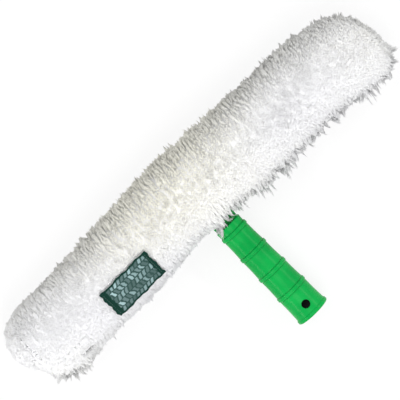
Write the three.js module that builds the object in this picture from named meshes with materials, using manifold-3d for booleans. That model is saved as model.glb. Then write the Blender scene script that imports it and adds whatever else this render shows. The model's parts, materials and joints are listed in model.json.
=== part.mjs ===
// Window strip washer, lying as it is put down, on its fleece and on the end of its handle.
// Millimetres. X runs along the crossbar, -Y towards the handle's end, +Z up.
// Pieces are made round the middle of the crossbar and then tilted on to the surface together.
import * as THREE from "three";
import { mergeVertices } from "three/addons/utils/BufferGeometryUtils.js";
import Module from "manifold-3d";

const wasm = await Module();
wasm.setup();

// Clearances
const seatGap = 0.2; // between pieces that sit against each other
const slideGap = 0.5; // between the crossbar or neck and the sleeve that slides over it
const overrun = 3; // how far a cutting shape runs past what it cuts

// Crossbar: a moulded ladder whose windows hold water
const barLength = 350; // over the end caps
const barWidth = 34;
const barThickness = 18;
const barEdgeBevel = 1.6;
const railWidth = 6.5;
const ribWidth = 6;
const windowCount = 4; // on each side of the hub
const windowRadius = 3;
const hubHalfLength = 27;
const endBlockLength = 17; // solid end of the ladder, behind the cap
const capLength = 12;
const capNoseRadius = 10.5;
const spigotLength = 9;
const spigotWidth = 18;
const spigotThickness = 8;

// Neck between the crossbar and the handle, and its tongue inside the handle
const neckThickness = 9;
const neckWidthAtBar = 30;
const neckWidthAtHandle = 21;
const tongueWidth = 15;

// Handle: distances are measured from the middle of the crossbar
const handleStart = 38.5;
const handleEnd = 134.4;
const handleRadiusAtStart = 11.7;
const handleRadiusAtEnd = 14.2;
const handleEdgeRadius = 1.2;
const ringCount = 4;
const firstRing = 45.1;
const ringPitch = 21.2;
const ringWidth = 3.4;
const ringHeight = 0.65;
const ringGrooveDepth = 0.3;
const ringGrooveWidth = 1;
const waistDepth = 0.3; // how far each stretch between rings draws in
const lipWidth = 3.2;
const lipHeight = 0.7;
const rimRounding = 1.5;
const socketDepth = 59;
const socketFloorWall = 7; // between the socket's floor and the tongue
const handleWallAtMouth = 2.4;
const socketTaper = 1.7; // how much the socket's radius shrinks over its depth
const lockHoleRadius = 3.6;
const lockHoleFromEnd = 10.8;

// Liner in the handle's socket
const linerWall = 1.3;
const linerSetBack = 1.2; // from the handle's end

// Screw, washer and threaded insert that hold the tongue in the handle
const screwRadius = 1.9;
const screwHeadRadius = 4;
const screwHeadHeight = 2.8;
const screwEngagement = 9;
const driveWidth = 2.6;
const driveDepth = 1.4;
const washerRadius = 5.5;
const washerThickness = 1.2;
const insertWall = 0.8;
const insertLength = 8;
const fitGap = 0.05; // all round the screw and its insert

// Sleeve's cloth
const clothThickness = 1.5;
const bindingThickness = 1;
const bindingWidth = 3.5;
const barTackLength = 5;
const sleeveEndGap = 1.6; // between the crossbar's ends and the cloth across them
const seamTapeLength = 7;
const seamTapeThickness = 3;
const mouthBindingLength = 6;
const stripThickness = 1.2; // of the hook and loop strips
const loopStripLength = 30;

// Fleece: its outer form as it lies
const flapEndLength = 17; // from the crossbar's end to the pile's tip, at the closure flap
const sewnEndLength = 12; // the same at the sewn end
const fleeceHalfWidth = 37.5;
const fleeceHalfHeight = 29.5;
const barHeight = 26.5; // of the crossbar's middle above the surface, which presses the pile flat
const handlePlay = 1.3; // between the handle's top and the fleece that slides past it

// Closure flap: closes the sleeve's end and wraps round the handle side
const flapLegLength = 40;
const flapHalfHeight = 14;
const hookStripLength = 27;
const hookStripInset = 2;
const hingeTapeWidth = 8;
const flapBindingDepth = 5;

// Label sewn on the fleece, and its thread
const labelLength = 49;
const labelWidth = 24;
const labelThickness = 0.7;
const labelAlong = -84.2; // its middle, along the crossbar
const labelAcross = -16; // its middle, across the crossbar
const labelLift = 0.4; // over the pile's smooth form
const labelTurn = 0.012; // radians, away from the crossbar's direction
const threadInset = 3;
const threadWidth = 0.9;
const threadThickness = 0.5;

// Exponents that set how square the fleece's section is, and how blunt its ends
const sectionPower = 2.25;
const endPower = 7;

// Facets
const roundSides = 36;
const smallSides = 20;
const fleeceSides = 30;
const fleeceSteps = 2; // rings between two places of the outline
const labelSteps = 16;
const threadSteps = 6;
const arcSteps = 6;
const waistSteps = 5;

// The fleece's outline from above, from the closure flap's end to the sewn end: place as a share of
// the way to that end's tip, then the far side and the handle side as shares of the half width.
const outlineShares = [
  [-1, 0.16, 0],
  [-0.99, 0.41, 0.2],
  [-0.955, 0.7, 0.5],
  [-0.915, 0.79, 0.92],
  [-0.875, 0.84, 1.04],
  [-0.83, 0.87, 1.1],
  [-0.79, 0.87, 1.12],
  [-0.71, 0.86, 1.01],
  [-0.59, 0.88, 0.98],
  [-0.43, 0.92, 1.02],
  [-0.26, 0.98, 0.94],
  [-0.1, 1.02, 0.87],
  [0.02, 1.01, 0.86],
  [0.1, 0.99, 0.91],
  [0.22, 0.96, 1.03],
  [0.43, 0.92, 1.03],
  [0.63, 0.89, 1.04],
  [0.71, 0.87, 1.08],
  [0.79, 0.81, 1.15],
  [0.87, 0.72, 1.21],
  [0.915, 0.63, 1.22],
  [0.955, 0.49, 1.14],
  [0.985, 0.28, 0.98],
  [1, -0.08, 0.68],
];
const endHeightShare = 0.12; // height of the pile's blunt tip
const neckCurveShare = 0.5; // how far down the neck its sides have drawn in

// Worked out from the sizes above
const flapTip = -(barLength / 2 + flapEndLength);
const sewnTip = barLength / 2 + sewnEndLength;
const barEnd = barLength / 2 - capLength;
const cavityHalfWidth = barWidth / 2 + slideGap;
const cavityHalfHeight = barThickness / 2 + slideGap;
const clothHalfWidth = cavityHalfWidth + clothThickness;
const clothHalfHeight = cavityHalfHeight + clothThickness;
const slitHalfHeight = neckThickness / 2 + slideGap;
const slitEnd = neckWidthAtBar / 2 + slideGap;
const bindingTop = slitHalfHeight + bindingWidth;
const mouthX = -(barLength / 2 + sleeveEndGap);
const sewnX = barLength / 2 + sleeveEndGap;
const tapeOut = clothHalfWidth + seatGap + bindingThickness;
const loopOut = clothHalfWidth + seatGap + stripThickness;
const hookIn = loopOut + seatGap;
const hookOut = hookIn + stripThickness;
const flapClothIn = hookOut + seatGap;
const flapClothOut = flapClothIn + clothThickness;
const flapClothX = mouthX - seatGap - clothThickness;
const legX = mouthX + flapLegLength;
const legCut = legX + seatGap + bindingThickness + seatGap;
const socketFloor = handleEnd - socketDepth;
const tongueEnd = socketFloor - socketFloorWall - seatGap;
const washerTop = socketFloor + seatGap;
const headTop = washerTop + washerThickness + fitGap;
const lipRadius = handleRadiusAtEnd + lipHeight;
const lipPlace = handleEnd - rimRounding;
const handlePath = handleStart - handlePlay;
const headPath = handleRadiusAtStart + handlePlay;

// It lies on the fleece and on the handle's lip, which sets the tilt.
const lipReach = Math.hypot(lipPlace, lipRadius);
const tilt = Math.asin(barHeight / lipReach) - Math.atan2(lipRadius, lipPlace);

// A three.js geometry as a solid that can be cut and joined.
function solid(geometry) {
  const bare = geometry.clone();
  bare.deleteAttribute("normal");
  bare.deleteAttribute("uv");
  const merged = mergeVertices(bare);
  return new wasm.Manifold(
    new wasm.Mesh({
      numProp: 3,
      vertProperties: merged.attributes.position.array,
      triVerts: new Uint32Array(merged.index.array),
    }),
  );
}

// A solid as a three.js geometry with flat faces.
function geometryOf(body) {
  const mesh = body.getMesh();
  const flat = new THREE.BufferGeometry()
    .setAttribute("position", new THREE.BufferAttribute(mesh.vertProperties, 3))
    .setIndex(new THREE.BufferAttribute(mesh.triVerts, 1))
    .toNonIndexed();
  flat.computeVertexNormals();
  return flat;
}

const join = (...bodies) => bodies.reduce((whole, next) => whole.add(next));
const cut = (body, ...tools) => tools.reduce((left, tool) => left.subtract(tool), body);

// A box between two places on each axis.
function block([x0, x1], [y0, y1], [z0, z1]) {
  const box = new THREE.BoxGeometry(Math.abs(x1 - x0), Math.abs(y1 - y0), Math.abs(z1 - z0));
  return solid(box.translate((x0 + x1) / 2, (y0 + y1) / 2, (z0 + z1) / 2));
}

const both = (half) => [-half, half];

// A rectangle with round corners.
function roundedRectangle(width, height, radius, centreX = 0) {
  const w = width / 2 - radius;
  const h = height / 2 - radius;
  const outline = new THREE.Shape();
  outline.absarc(centreX + w, h, radius, 0, Math.PI / 2);
  outline.absarc(centreX - w, h, radius, Math.PI / 2, Math.PI);
  outline.absarc(centreX - w, -h, radius, Math.PI, (3 * Math.PI) / 2);
  outline.absarc(centreX + w, -h, radius, (3 * Math.PI) / 2, 2 * Math.PI);
  outline.closePath();
  return outline;
}

// An outline in the XY plane made thick along Z, centred on z = 0, with bevelled edges if asked.
function plate(outline, thickness, bevel = 0) {
  const made = new THREE.ExtrudeGeometry(outline, {
    depth: thickness - 2 * bevel,
    bevelEnabled: bevel > 0,
    bevelThickness: bevel,
    bevelSize: bevel,
    bevelOffset: -bevel,
    bevelSegments: 2,
    curveSegments: arcSteps,
  });
  return solid(made.translate(0, 0, bevel - thickness / 2));
}

// An outline in the YZ plane run along X from one place to another.
function runAlongX(outline, [x0, x1]) {
  const made = new THREE.ExtrudeGeometry(outline, {
    depth: x1 - x0,
    bevelEnabled: false,
    curveSegments: arcSteps,
  });
  const turn = new THREE.Matrix4().makeBasis(
    new THREE.Vector3(0, 1, 0),
    new THREE.Vector3(0, 0, 1),
    new THREE.Vector3(1, 0, 0),
  );
  return solid(made.applyMatrix4(turn).translate(x0, 0, 0));
}

// A round piece on the handle's axis, from [radius, distance] points that close on themselves.
function turned(profile, sides = roundSides) {
  const points = profile.map(([radius, distance]) => new THREE.Vector2(radius, -distance));
  points.push(points[0].clone());
  const made = solid(new THREE.LatheGeometry(points, sides));
  if (made.volume() > 0) return made;
  return solid(new THREE.LatheGeometry(points.reverse(), sides));
}

// A tube, or a bar when its inner radius is 0, on the handle's axis between two distances.
function roundTube(inner, outer, from, to, sides = smallSides) {
  return turned([[inner, from], [outer, from], [outer, to], [inner, to]], sides);
}

// Handle radius at a distance from the crossbar, without rings.
function handleRadius(distance) {
  const along = (distance - handleStart) / (handleEnd - handleStart);
  return THREE.MathUtils.lerp(handleRadiusAtStart, handleRadiusAtEnd, along);
}

// A raised ring: a rounded band between two fine grooves.
function ringProfile(place) {
  const halfBand = ringWidth / 2;
  const at = (offset, rise) => [handleRadius(place + offset) + rise, place + offset];
  const band = [];
  for (let i = 0; i <= arcSteps; i++) {
    const along = -1 + (2 * i) / arcSteps;
    band.push(at(along * halfBand, ringHeight * Math.sqrt(1 - along ** 4)));
  }
  const groove = halfBand + ringGrooveWidth / 2;
  const outside = halfBand + ringGrooveWidth;
  return [
    at(-outside, 0),
    at(-groove, -ringGrooveDepth),
    ...band,
    at(groove, -ringGrooveDepth),
    at(outside, 0),
  ];
}

// A stretch between two rings draws in a little, like a cane between its nodes.
function waistProfile(from, to) {
  const points = [];
  for (let i = 1; i < waistSteps; i++) {
    const along = i / waistSteps;
    const distance = THREE.MathUtils.lerp(from, to, along);
    points.push([handleRadius(distance) - waistDepth * Math.sin(Math.PI * along), distance]);
  }
  return points;
}

// The handle's outer profile, from its top to its rim.
function handleOutside() {
  const ringReach = ringWidth / 2 + ringGrooveWidth;
  const points = [
    [handleRadiusAtStart - handleEdgeRadius, handleStart],
    [handleRadiusAtStart, handleStart + handleEdgeRadius],
  ];
  for (let i = 0; i < ringCount; i++) {
    const place = firstRing + i * ringPitch;
    const next = i + 1 < ringCount ? place + ringPitch - ringReach : handleEnd - lipWidth;
    points.push(...ringProfile(place), ...waistProfile(place + ringReach, next));
  }
  points.push([handleRadius(handleEnd - lipWidth), handleEnd - lipWidth]);
  for (let i = 0; i <= arcSteps; i++) {
    const angle = (i / arcSteps) * (Math.PI / 2);
    const radius = lipRadius - rimRounding * (1 - Math.cos(angle));
    points.push([radius, lipPlace + rimRounding * Math.sin(angle)]);
  }
  return points;
}

function socketRadius(distance) {
  const mouth = handleRadiusAtEnd - handleWallAtMouth;
  return mouth - (socketTaper * (handleEnd - distance)) / socketDepth;
}

// A round hole through both walls, for a pole's catch or a hook.
// Through the upper wall only.
function lockHole() {
  const length = lipRadius + overrun;
  const pin = new THREE.CylinderGeometry(lockHoleRadius, lockHoleRadius, length, smallSides);
  return solid(pin.rotateX(Math.PI / 2).translate(0, lockHoleFromEnd - handleEnd, length / 2));
}

function handleGrip() {
  const body = turned([
    [0, handleStart],
    ...handleOutside(),
    [socketRadius(handleEnd), handleEnd],
    [socketRadius(socketFloor), socketFloor],
    [0, socketFloor],
  ]);
  const slot = block(
    both(tongueWidth / 2 + seatGap),
    [-(tongueEnd + seatGap), -(handleStart - overrun)],
    both(neckThickness / 2 + seatGap),
  );
  const screwHole = roundTube(0, screwRadius + seatGap, tongueEnd - overrun, socketFloor + overrun);
  return cut(body, slot, screwHole, lockHole());
}

// The liner takes the cone of an extension pole.
function poleLiner() {
  const mouth = handleEnd - linerSetBack;
  const floor = headTop + screwHeadHeight + overrun;
  const outer = (distance) => socketRadius(distance) - seatGap;
  const liner = turned([
    [outer(mouth) - linerWall, mouth],
    [outer(mouth), mouth],
    [outer(floor), floor],
    [outer(floor) - linerWall, floor],
  ]);
  return cut(liner, lockHole());
}

// Crossbar ladder, neck and tongue in one moulding.
function crossbarFrame() {
  const ladder = roundedRectangle(2 * barEnd, barWidth, barEdgeBevel + seatGap);
  const span = barEnd - endBlockLength - hubHalfLength;
  const windowLength = (span - (windowCount - 1) * ribWidth) / windowCount;
  const windowWidth = barWidth - 2 * railWidth;
  const windows = [];
  for (const side of [-1, 1]) {
    for (let i = 0; i < windowCount; i++) {
      const centre = hubHalfLength + windowLength / 2 + i * (windowLength + ribWidth);
      const hole = roundedRectangle(windowLength, windowWidth, windowRadius, side * centre);
      windows.push(plate(hole, barThickness + 2 * overrun));
    }
  }
  const wide = neckWidthAtBar / 2;
  const narrow = neckWidthAtHandle / 2;
  const shoulder = handleStart - seatGap;
  const bend = THREE.MathUtils.lerp(barWidth / 2, shoulder, neckCurveShare);
  const neck = new THREE.Shape();
  neck.moveTo(wide, 0);
  neck.lineTo(wide, -barWidth / 2);
  neck.quadraticCurveTo(narrow, -bend, narrow, -shoulder);
  neck.lineTo(tongueWidth / 2, -shoulder);
  neck.lineTo(tongueWidth / 2, -tongueEnd);
  neck.lineTo(-tongueWidth / 2, -tongueEnd);
  neck.lineTo(-tongueWidth / 2, -shoulder);
  neck.lineTo(-narrow, -shoulder);
  neck.quadraticCurveTo(-narrow, -bend, -wide, -barWidth / 2);
  neck.lineTo(-wide, 0);
  neck.closePath();
  const insertOuter = screwRadius + fitGap + insertWall;
  return cut(
    join(plate(ladder, barThickness, barEdgeBevel), plate(neck, neckThickness)),
    ...windows,
    roundTube(0, insertOuter + fitGap, tongueEnd - insertLength - seatGap, tongueEnd + overrun),
    roundTube(0, screwRadius + seatGap, tongueEnd - screwEngagement - seatGap, tongueEnd),
    spigot(-1, seatGap),
    spigot(1, seatGap),
  );
}

// The peg of an end cap, or its pocket in the ladder when a margin is given.
function spigot(side, margin = 0) {
  return block(
    [side * (barEnd - spigotLength - margin), side * (barEnd + capLength / 2)],
    both(spigotWidth / 2 + margin),
    both(spigotThickness / 2 + margin),
  );
}

// A rounded nose on each end of the ladder lets the sleeve slide on without snagging.
function endCap(side) {
  const nose = plate(roundedRectangle(barLength, barWidth, capNoseRadius), barThickness, barEdgeBevel);
  const reach = [side * (barEnd + seatGap), side * (barLength / 2 + overrun)];
  const cap = nose.intersect(block(reach, both(barWidth), both(barThickness)));
  return join(cap, spigot(side));
}

function tongueScrew() {
  const shank = roundTube(0, screwRadius, tongueEnd - screwEngagement, headTop + screwHeadHeight / 2);
  const head = roundTube(0, screwHeadRadius, headTop, headTop + screwHeadHeight);
  const reach = [-(headTop + screwHeadHeight + overrun), -(headTop + screwHeadHeight - driveDepth)];
  return cut(join(shank, head), block(both(driveWidth / 2), reach, both(driveWidth / 2)));
}

function screwWasher() {
  const inner = screwRadius + seatGap;
  return roundTube(inner, washerRadius, washerTop, washerTop + washerThickness);
}

function threadedInsert() {
  const inner = screwRadius + fitGap;
  return roundTube(inner, inner + insertWall, tongueEnd - insertLength, tongueEnd - seatGap);
}

// How far the pile reaches from the crossbar's middle towards the side that a value's sign gives.
function tipReach(value) {
  return value < 0 ? -flapTip : sewnTip;
}

// The fleece's half widths on each side and its half height at a place along the crossbar.
function fleeceAt(x) {
  const place = THREE.MathUtils.clamp(x / tipReach(x), -1, 1);
  const next = Math.max(1, outlineShares.findIndex(([at]) => at >= place));
  const [from, farFrom, nearFrom] = outlineShares[next - 1];
  const [to, farTo, nearTo] = outlineShares[next];
  const along = (place - from) / (to - from);
  const full = (1 - Math.abs(place) ** endPower) ** (1 / endPower);
  return {
    far: fleeceHalfWidth * THREE.MathUtils.lerp(farFrom, farTo, along),
    near: fleeceHalfWidth * THREE.MathUtils.lerp(nearFrom, nearTo, along),
    height: fleeceHalfHeight * Math.max(endHeightShare, full),
  };
}

// Height of the fleece's top over the middle of the crossbar.
function fleeceTop(x, y) {
  const { far, near, height } = fleeceAt(x);
  const across = Math.abs(y - (far - near) / 2) / ((far + near) / 2);
  return height * (1 - across ** sectionPower) ** (1 / sectionPower);
}

// Faces between rows of points, each row a closed ring, with a fan over each end.
function skinOver(rings, thin = false) {
  const sides = rings[0].length;
  const last = (rings.length - 1) * sides;
  const positions = rings.flat();
  const faces = thin ? thinEnds(sides, last) : roundEnds(rings, positions);
  for (let i = 0; i + 1 < rings.length; i++) {
    for (let j = 0; j < sides; j++) {
      const a = i * sides + j;
      const b = i * sides + ((j + 1) % sides);
      faces.push(a, b, b + sides, a, b + sides, a + sides);
    }
  }
  const made = new THREE.BufferGeometry();
  made.setAttribute("position", new THREE.Float32BufferAttribute(positions.flat(), 3));
  made.setIndex(faces);
  return solid(made);
}

// Ends of bulging rings, as fans about their middles.
function roundEnds(rings, positions) {
  const sides = rings[0].length;
  const faces = [];
  for (const [i, flip] of [[0, true], [rings.length - 1, false]]) {
    const middle = rings[i].reduce((sum, point) => sum.map((value, k) => value + point[k]), [0, 0, 0]);
    positions.push(middle.map((value) => value / sides));
    for (let j = 0; j < sides; j++) {
      const a = i * sides + j;
      const b = i * sides + ((j + 1) % sides);
      if (flip) faces.push(positions.length - 1, b, a);
      else faces.push(positions.length - 1, a, b);
    }
  }
  return faces;
}

// Ends of thin rings, whose first half runs along one face and whose second half runs back.
function thinEnds(sides, last) {
  const faces = [];
  for (let j = 0; j + 1 < sides / 2; j++) {
    const k = sides - 1 - j;
    faces.push(j, k - 1, j + 1, j, k, k - 1);
    faces.push(last + j, last + j + 1, last + k - 1, last + j, last + k - 1, last + k);
  }
  return faces;
}

// The fleece's outer form, pressed flat by the surface that it lies on.
function fleeceForm() {
  const rings = [];
  for (let i = 0; i < outlineShares.length; i++) {
    const steps = i + 1 < outlineShares.length ? fleeceSteps : 1;
    for (let k = 0; k < steps; k++) {
      const from = outlineShares[i][0];
      const to = outlineShares[Math.min(i + 1, outlineShares.length - 1)][0];
      const place = THREE.MathUtils.lerp(from, to, k / steps);
      rings.push(fleeceRing(place * tipReach(place)));
    }
  }
  return cut(skinOver(rings), belowSurface());
}

function fleeceRing(x) {
  const { far, near, height } = fleeceAt(x);
  const bulge = (value) => Math.sign(value) * Math.abs(value) ** (2 / sectionPower);
  const ring = [];
  for (let j = 0; j < fleeceSides; j++) {
    const angle = (2 * Math.PI * j) / fleeceSides;
    const y = (far - near) / 2 + ((far + near) / 2) * bulge(Math.cos(angle));
    ring.push([x, y, height * bulge(Math.sin(angle))]);
  }
  return ring;
}

// Everything under the surface, in the crossbar's own frame.
function belowSurface() {
  const ground = new THREE.BoxGeometry(2 * barLength, 2 * barLength, barLength);
  ground.translate(0, 0, -barLength / 2 - barHeight);
  return solid(ground.rotateX(-tilt));
}

// The room that the sleeve's cloth and tapes take up inside the pile.
function clothRoom() {
  const gap = seatGap;
  const deep = clothHalfWidth - overrun;
  const around = (margin, reach) =>
    runAlongX(
      roundedRectangle(2 * (clothHalfWidth + margin), 2 * (clothHalfHeight + margin), barEdgeBevel),
      reach,
    );
  const seam = sewnX + clothThickness + 2 * gap;
  const seamAcross = both(cavityHalfWidth + gap);
  const start = mouthX - overrun;
  return join(
    around(gap, [start, sewnX + clothThickness + gap]),
    around(bindingThickness + 2 * gap, [start, mouthX + mouthBindingLength + gap]),
    block([sewnX, seam + seamTapeLength], seamAcross, both(seamTapeThickness / 2 + gap)),
    block([start, slitEnd], [-(tapeOut + gap), -deep], both(bindingTop + gap)),
    block([0, slitEnd + barTackLength + 2 * gap], [-(tapeOut + gap), -deep], both(bindingTop + gap)),
    block([start, legCut], [-(flapClothIn + gap), -deep], both(flapHalfHeight + gap)),
  );
}

// What the flap takes from the fleece: its end, and the handle side as far as the flap's leg reaches.
function flapRoom(margin = 0) {
  const far = 2 * fleeceHalfWidth;
  const tall = both(2 * fleeceHalfHeight);
  return join(
    block([flapTip - overrun, mouthX - margin], both(far), tall),
    block([mouthX - overrun, legCut - margin], [-far, -(flapClothIn - seatGap + margin)], tall),
  );
}

function fleecePile(form) {
  const handleWay = block(
    [flapTip - overrun, headPath], [-2 * fleeceHalfWidth, -handlePath], both(headPath),
  );
  const slit = block([mouthX - overrun, slitEnd], [-handleEnd, 0], both(slitHalfHeight));
  return cut(form, flapRoom(), clothRoom(), handleWay, slit);
}

function flapPile(form) {
  const whole = form.intersect(flapRoom(seatGap));
  const behindCloth = block(
    [flapClothX - seatGap, legCut], [-(flapClothOut + seatGap), 2 * fleeceHalfWidth],
    both(2 * fleeceHalfHeight),
  );
  return cut(whole, behindCloth, flapEdge(seatGap));
}

// L-shaped cloth of the flap, across the mouth and along the handle side.
function flapBacking() {
  const high = both(flapHalfHeight);
  return join(
    block([flapClothX, mouthX - seatGap], [-flapClothOut, clothHalfWidth], high),
    block([flapClothX, legX], [-flapClothOut, -flapClothIn], high),
  );
}

// The folded tape on the free end of the flap's leg, or its room in the pile when a margin is given.
function flapEdge(margin = 0) {
  return block(
    [legX + seatGap - margin, legX + seatGap + bindingThickness + margin],
    [-(flapClothIn + flapBindingDepth + margin), -(flapClothIn - margin)],
    both(flapHalfHeight + margin),
  );
}

function flapHingeTape() {
  const start = clothHalfWidth + seatGap;
  return block([flapClothX, mouthX - seatGap], [start, start + hingeTapeWidth], both(flapHalfHeight));
}

function hookStrip() {
  const end = legX - hookStripInset;
  return block([end - hookStripLength, end], [-hookOut, -hookIn], both(flapHalfHeight));
}

// One loop strip above the slit and one below, on the cloth under the flap's leg.
function loopStrip(side) {
  const start = mouthX + mouthBindingLength + seatGap;
  const edges = [side * (bindingTop + seatGap), side * flapHalfHeight];
  return block([start, start + loopStripLength], [-loopOut, -(clothHalfWidth + seatGap)], edges);
}

function sleeveBacking() {
  const tube = (halfWidth, halfHeight, reach) =>
    runAlongX(roundedRectangle(2 * halfWidth, 2 * halfHeight, barEdgeBevel), reach);
  const slit = block(
    [mouthX - overrun, slitEnd],
    [-(clothHalfWidth + overrun), -(cavityHalfWidth - overrun)],
    both(slitHalfHeight + bindingThickness + seatGap),
  );
  return cut(
    tube(clothHalfWidth, clothHalfHeight, [mouthX, sewnX + clothThickness]),
    tube(cavityHalfWidth, cavityHalfHeight, [mouthX - overrun, sewnX]),
    slit,
  );
}

// Tape folded round an edge of the slit: a strip on the outside and a lip across the edge.
function slitBinding(side) {
  const reach = [mouthX, slitEnd];
  const lip = [side * slitHalfHeight, side * (slitHalfHeight + bindingThickness)];
  const strip = [side * slitHalfHeight, side * bindingTop];
  return join(
    block(reach, [-tapeOut, -cavityHalfWidth], lip),
    block(reach, [-tapeOut, -(clothHalfWidth + seatGap)], strip),
  );
}

function barTack() {
  const start = slitEnd + seatGap;
  const across = [-tapeOut, -(clothHalfWidth + seatGap)];
  return block([start, start + barTackLength], across, both(bindingTop));
}

function endSeamTape() {
  const start = sewnX + clothThickness + seatGap;
  const outline = roundedRectangle(2 * cavityHalfWidth, seamTapeThickness, seamTapeThickness / 3);
  return runAlongX(outline, [start, start + seamTapeLength]);
}

// A tape round the sleeve's mouth, open where the slit passes.
function mouthBinding() {
  const collar = (margin, reach) =>
    runAlongX(
      roundedRectangle(2 * (clothHalfWidth + margin), 2 * (clothHalfHeight + margin), barEdgeBevel),
      reach,
    );
  const beyond = [mouthX - overrun, mouthX + mouthBindingLength + overrun];
  const opening = [-(tapeOut + overrun), -(clothHalfWidth - overrun)];
  return cut(
    collar(seatGap + bindingThickness, [mouthX, mouthX + mouthBindingLength]),
    collar(seatGap, beyond),
    block(beyond, opening, both(bindingTop + seatGap)),
  );
}

// A thin piece that follows the fleece's top, given in the label's own directions.
function onFleece([u0, u1], [v0, v1], lift, thickness, steps) {
  const rings = [];
  for (let i = 0; i <= steps[0]; i++) {
    const upper = [];
    const lower = [];
    for (let j = 0; j <= steps[1]; j++) {
      const u = THREE.MathUtils.lerp(u0, u1, i / steps[0]);
      const v = THREE.MathUtils.lerp(v0, v1, j / steps[1]);
      const x = labelAlong + u * Math.cos(labelTurn) - v * Math.sin(labelTurn);
      const y = labelAcross + u * Math.sin(labelTurn) + v * Math.cos(labelTurn);
      const z = fleeceTop(x, y) + lift;
      upper.unshift([x, y, z + thickness]);
      lower.push([x, y, z]);
    }
    rings.push([...lower, ...upper]);
  }
  return skinOver(rings, true);
}

function label() {
  const steps = [labelSteps, labelSteps / 2];
  return onFleece(both(labelLength / 2), both(labelWidth / 2), labelLift, labelThickness, steps);
}

// A row of thread along a short edge of the label.
function labelThread(side) {
  const middle = side * (labelLength / 2 - threadInset);
  const across = [middle - threadWidth / 2, middle + threadWidth / 2];
  const lift = labelLift + labelThickness + seatGap / 2;
  return onFleece(across, both(labelWidth / 2 - threadInset), lift, threadThickness, [1, threadSteps]);
}

const green = 0x22b455;
const charcoal = 0x26282a;
const steel = 0xb9bcc0;
const brass = 0xc9a24a;
const fleeceWhite = 0xf1f1ee;
const clothWhite = 0xe3e2dc;
const tapeWhite = 0xeceae4;
const labelGreen = 0x0f3d2d;
const threadPale = 0xbfd6cf;
const threadGreen = 0x1a4c38;

const group = new THREE.Group();
group.name = "window_strip_washer";

function add(name, body, color, roughness, metalness = 0) {
  const material = new THREE.MeshStandardMaterial({ color, roughness, metalness });
  const mesh = new THREE.Mesh(geometryOf(body), material);
  mesh.name = name;
  group.add(mesh);
}

const form = fleeceForm();

add("crossbar_frame", crossbarFrame(), green, 0.5);
add("end_cap_left", endCap(-1), green, 0.5);
add("end_cap_right", endCap(1), green, 0.5);
add("handle_grip", handleGrip(), green, 0.42);
add("pole_liner", poleLiner(), charcoal, 0.6);
add("tongue_screw", tongueScrew(), steel, 0.35, 0.9);
add("screw_washer", screwWasher(), steel, 0.35, 0.9);
add("threaded_insert", threadedInsert(), brass, 0.35, 0.9);
add("sleeve_backing", sleeveBacking(), clothWhite, 0.95);
add("fleece_pile", fleecePile(form), fleeceWhite, 1);
add("slit_binding_upper", slitBinding(1), tapeWhite, 0.9);
add("slit_binding_lower", slitBinding(-1), tapeWhite, 0.9);
add("slit_bar_tack", barTack(), threadPale, 0.85);
add("end_seam_tape", endSeamTape(), tapeWhite, 0.9);
add("mouth_binding", mouthBinding(), tapeWhite, 0.9);
add("loop_strip_upper", loopStrip(1), clothWhite, 0.95);
add("loop_strip_lower", loopStrip(-1), clothWhite, 0.95);
add("label", label(), labelGreen, 0.8);
add("label_thread_flap_side", labelThread(-1), threadGreen, 0.8);
add("label_thread_neck_side", labelThread(1), threadGreen, 0.8);
add("flap_pile", flapPile(form), fleeceWhite, 1);
add("flap_backing", flapBacking(), clothWhite, 0.95);
add("flap_edge_binding", flapEdge(), tapeWhite, 0.9);
add("flap_hinge_tape", flapHingeTape(), tapeWhite, 0.9);
add("hook_strip", hookStrip(), clothWhite, 0.9);

// Tilted on to the surface, with the middle of its outline over the origin.
group.rotation.x = tilt;
group.position.z = barHeight;
group.updateMatrixWorld(true);
const bounds = new THREE.Box3().setFromObject(group, true);
group.position.x -= (bounds.min.x + bounds.max.x) / 2;
group.position.y -= (bounds.min.y + bounds.max.y) / 2;
group.updateMatrixWorld(true);

export default group;
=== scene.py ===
"""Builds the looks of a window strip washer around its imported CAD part.

Pieces are modelled in the washer's own frame, whose origin is the middle of the crossbar and whose
-Y axis is the handle's, and then put where the CAD part lies. Lengths in the code are in metres.
"""

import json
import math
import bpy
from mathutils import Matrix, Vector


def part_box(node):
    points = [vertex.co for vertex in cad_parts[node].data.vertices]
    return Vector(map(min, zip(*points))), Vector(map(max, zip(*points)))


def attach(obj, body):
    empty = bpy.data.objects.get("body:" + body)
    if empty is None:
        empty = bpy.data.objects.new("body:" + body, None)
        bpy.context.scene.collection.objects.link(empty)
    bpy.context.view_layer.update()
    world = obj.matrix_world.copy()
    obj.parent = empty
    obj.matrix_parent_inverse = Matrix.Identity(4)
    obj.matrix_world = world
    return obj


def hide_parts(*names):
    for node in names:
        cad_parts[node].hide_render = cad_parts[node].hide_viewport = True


bl_info = {
    "name": "Window strip washer",
    "version": (1, 0, 0),
    "blender": (4, 5, 0),
    "location": "View3D > Sidebar > Washer",
    "description": "Models a fleece strip washer around its CAD frame",
    "category": "Object",
}

import bpy
import numpy as np
from mathutils import Matrix, Vector, kdtree

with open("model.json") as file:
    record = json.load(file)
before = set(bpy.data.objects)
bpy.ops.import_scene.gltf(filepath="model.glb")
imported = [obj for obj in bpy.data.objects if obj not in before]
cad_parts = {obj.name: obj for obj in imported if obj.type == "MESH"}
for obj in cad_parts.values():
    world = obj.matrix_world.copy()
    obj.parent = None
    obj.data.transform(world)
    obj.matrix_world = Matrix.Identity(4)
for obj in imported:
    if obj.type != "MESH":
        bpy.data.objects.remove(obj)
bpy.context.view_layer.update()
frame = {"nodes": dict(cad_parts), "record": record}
MM = 0.001

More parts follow.
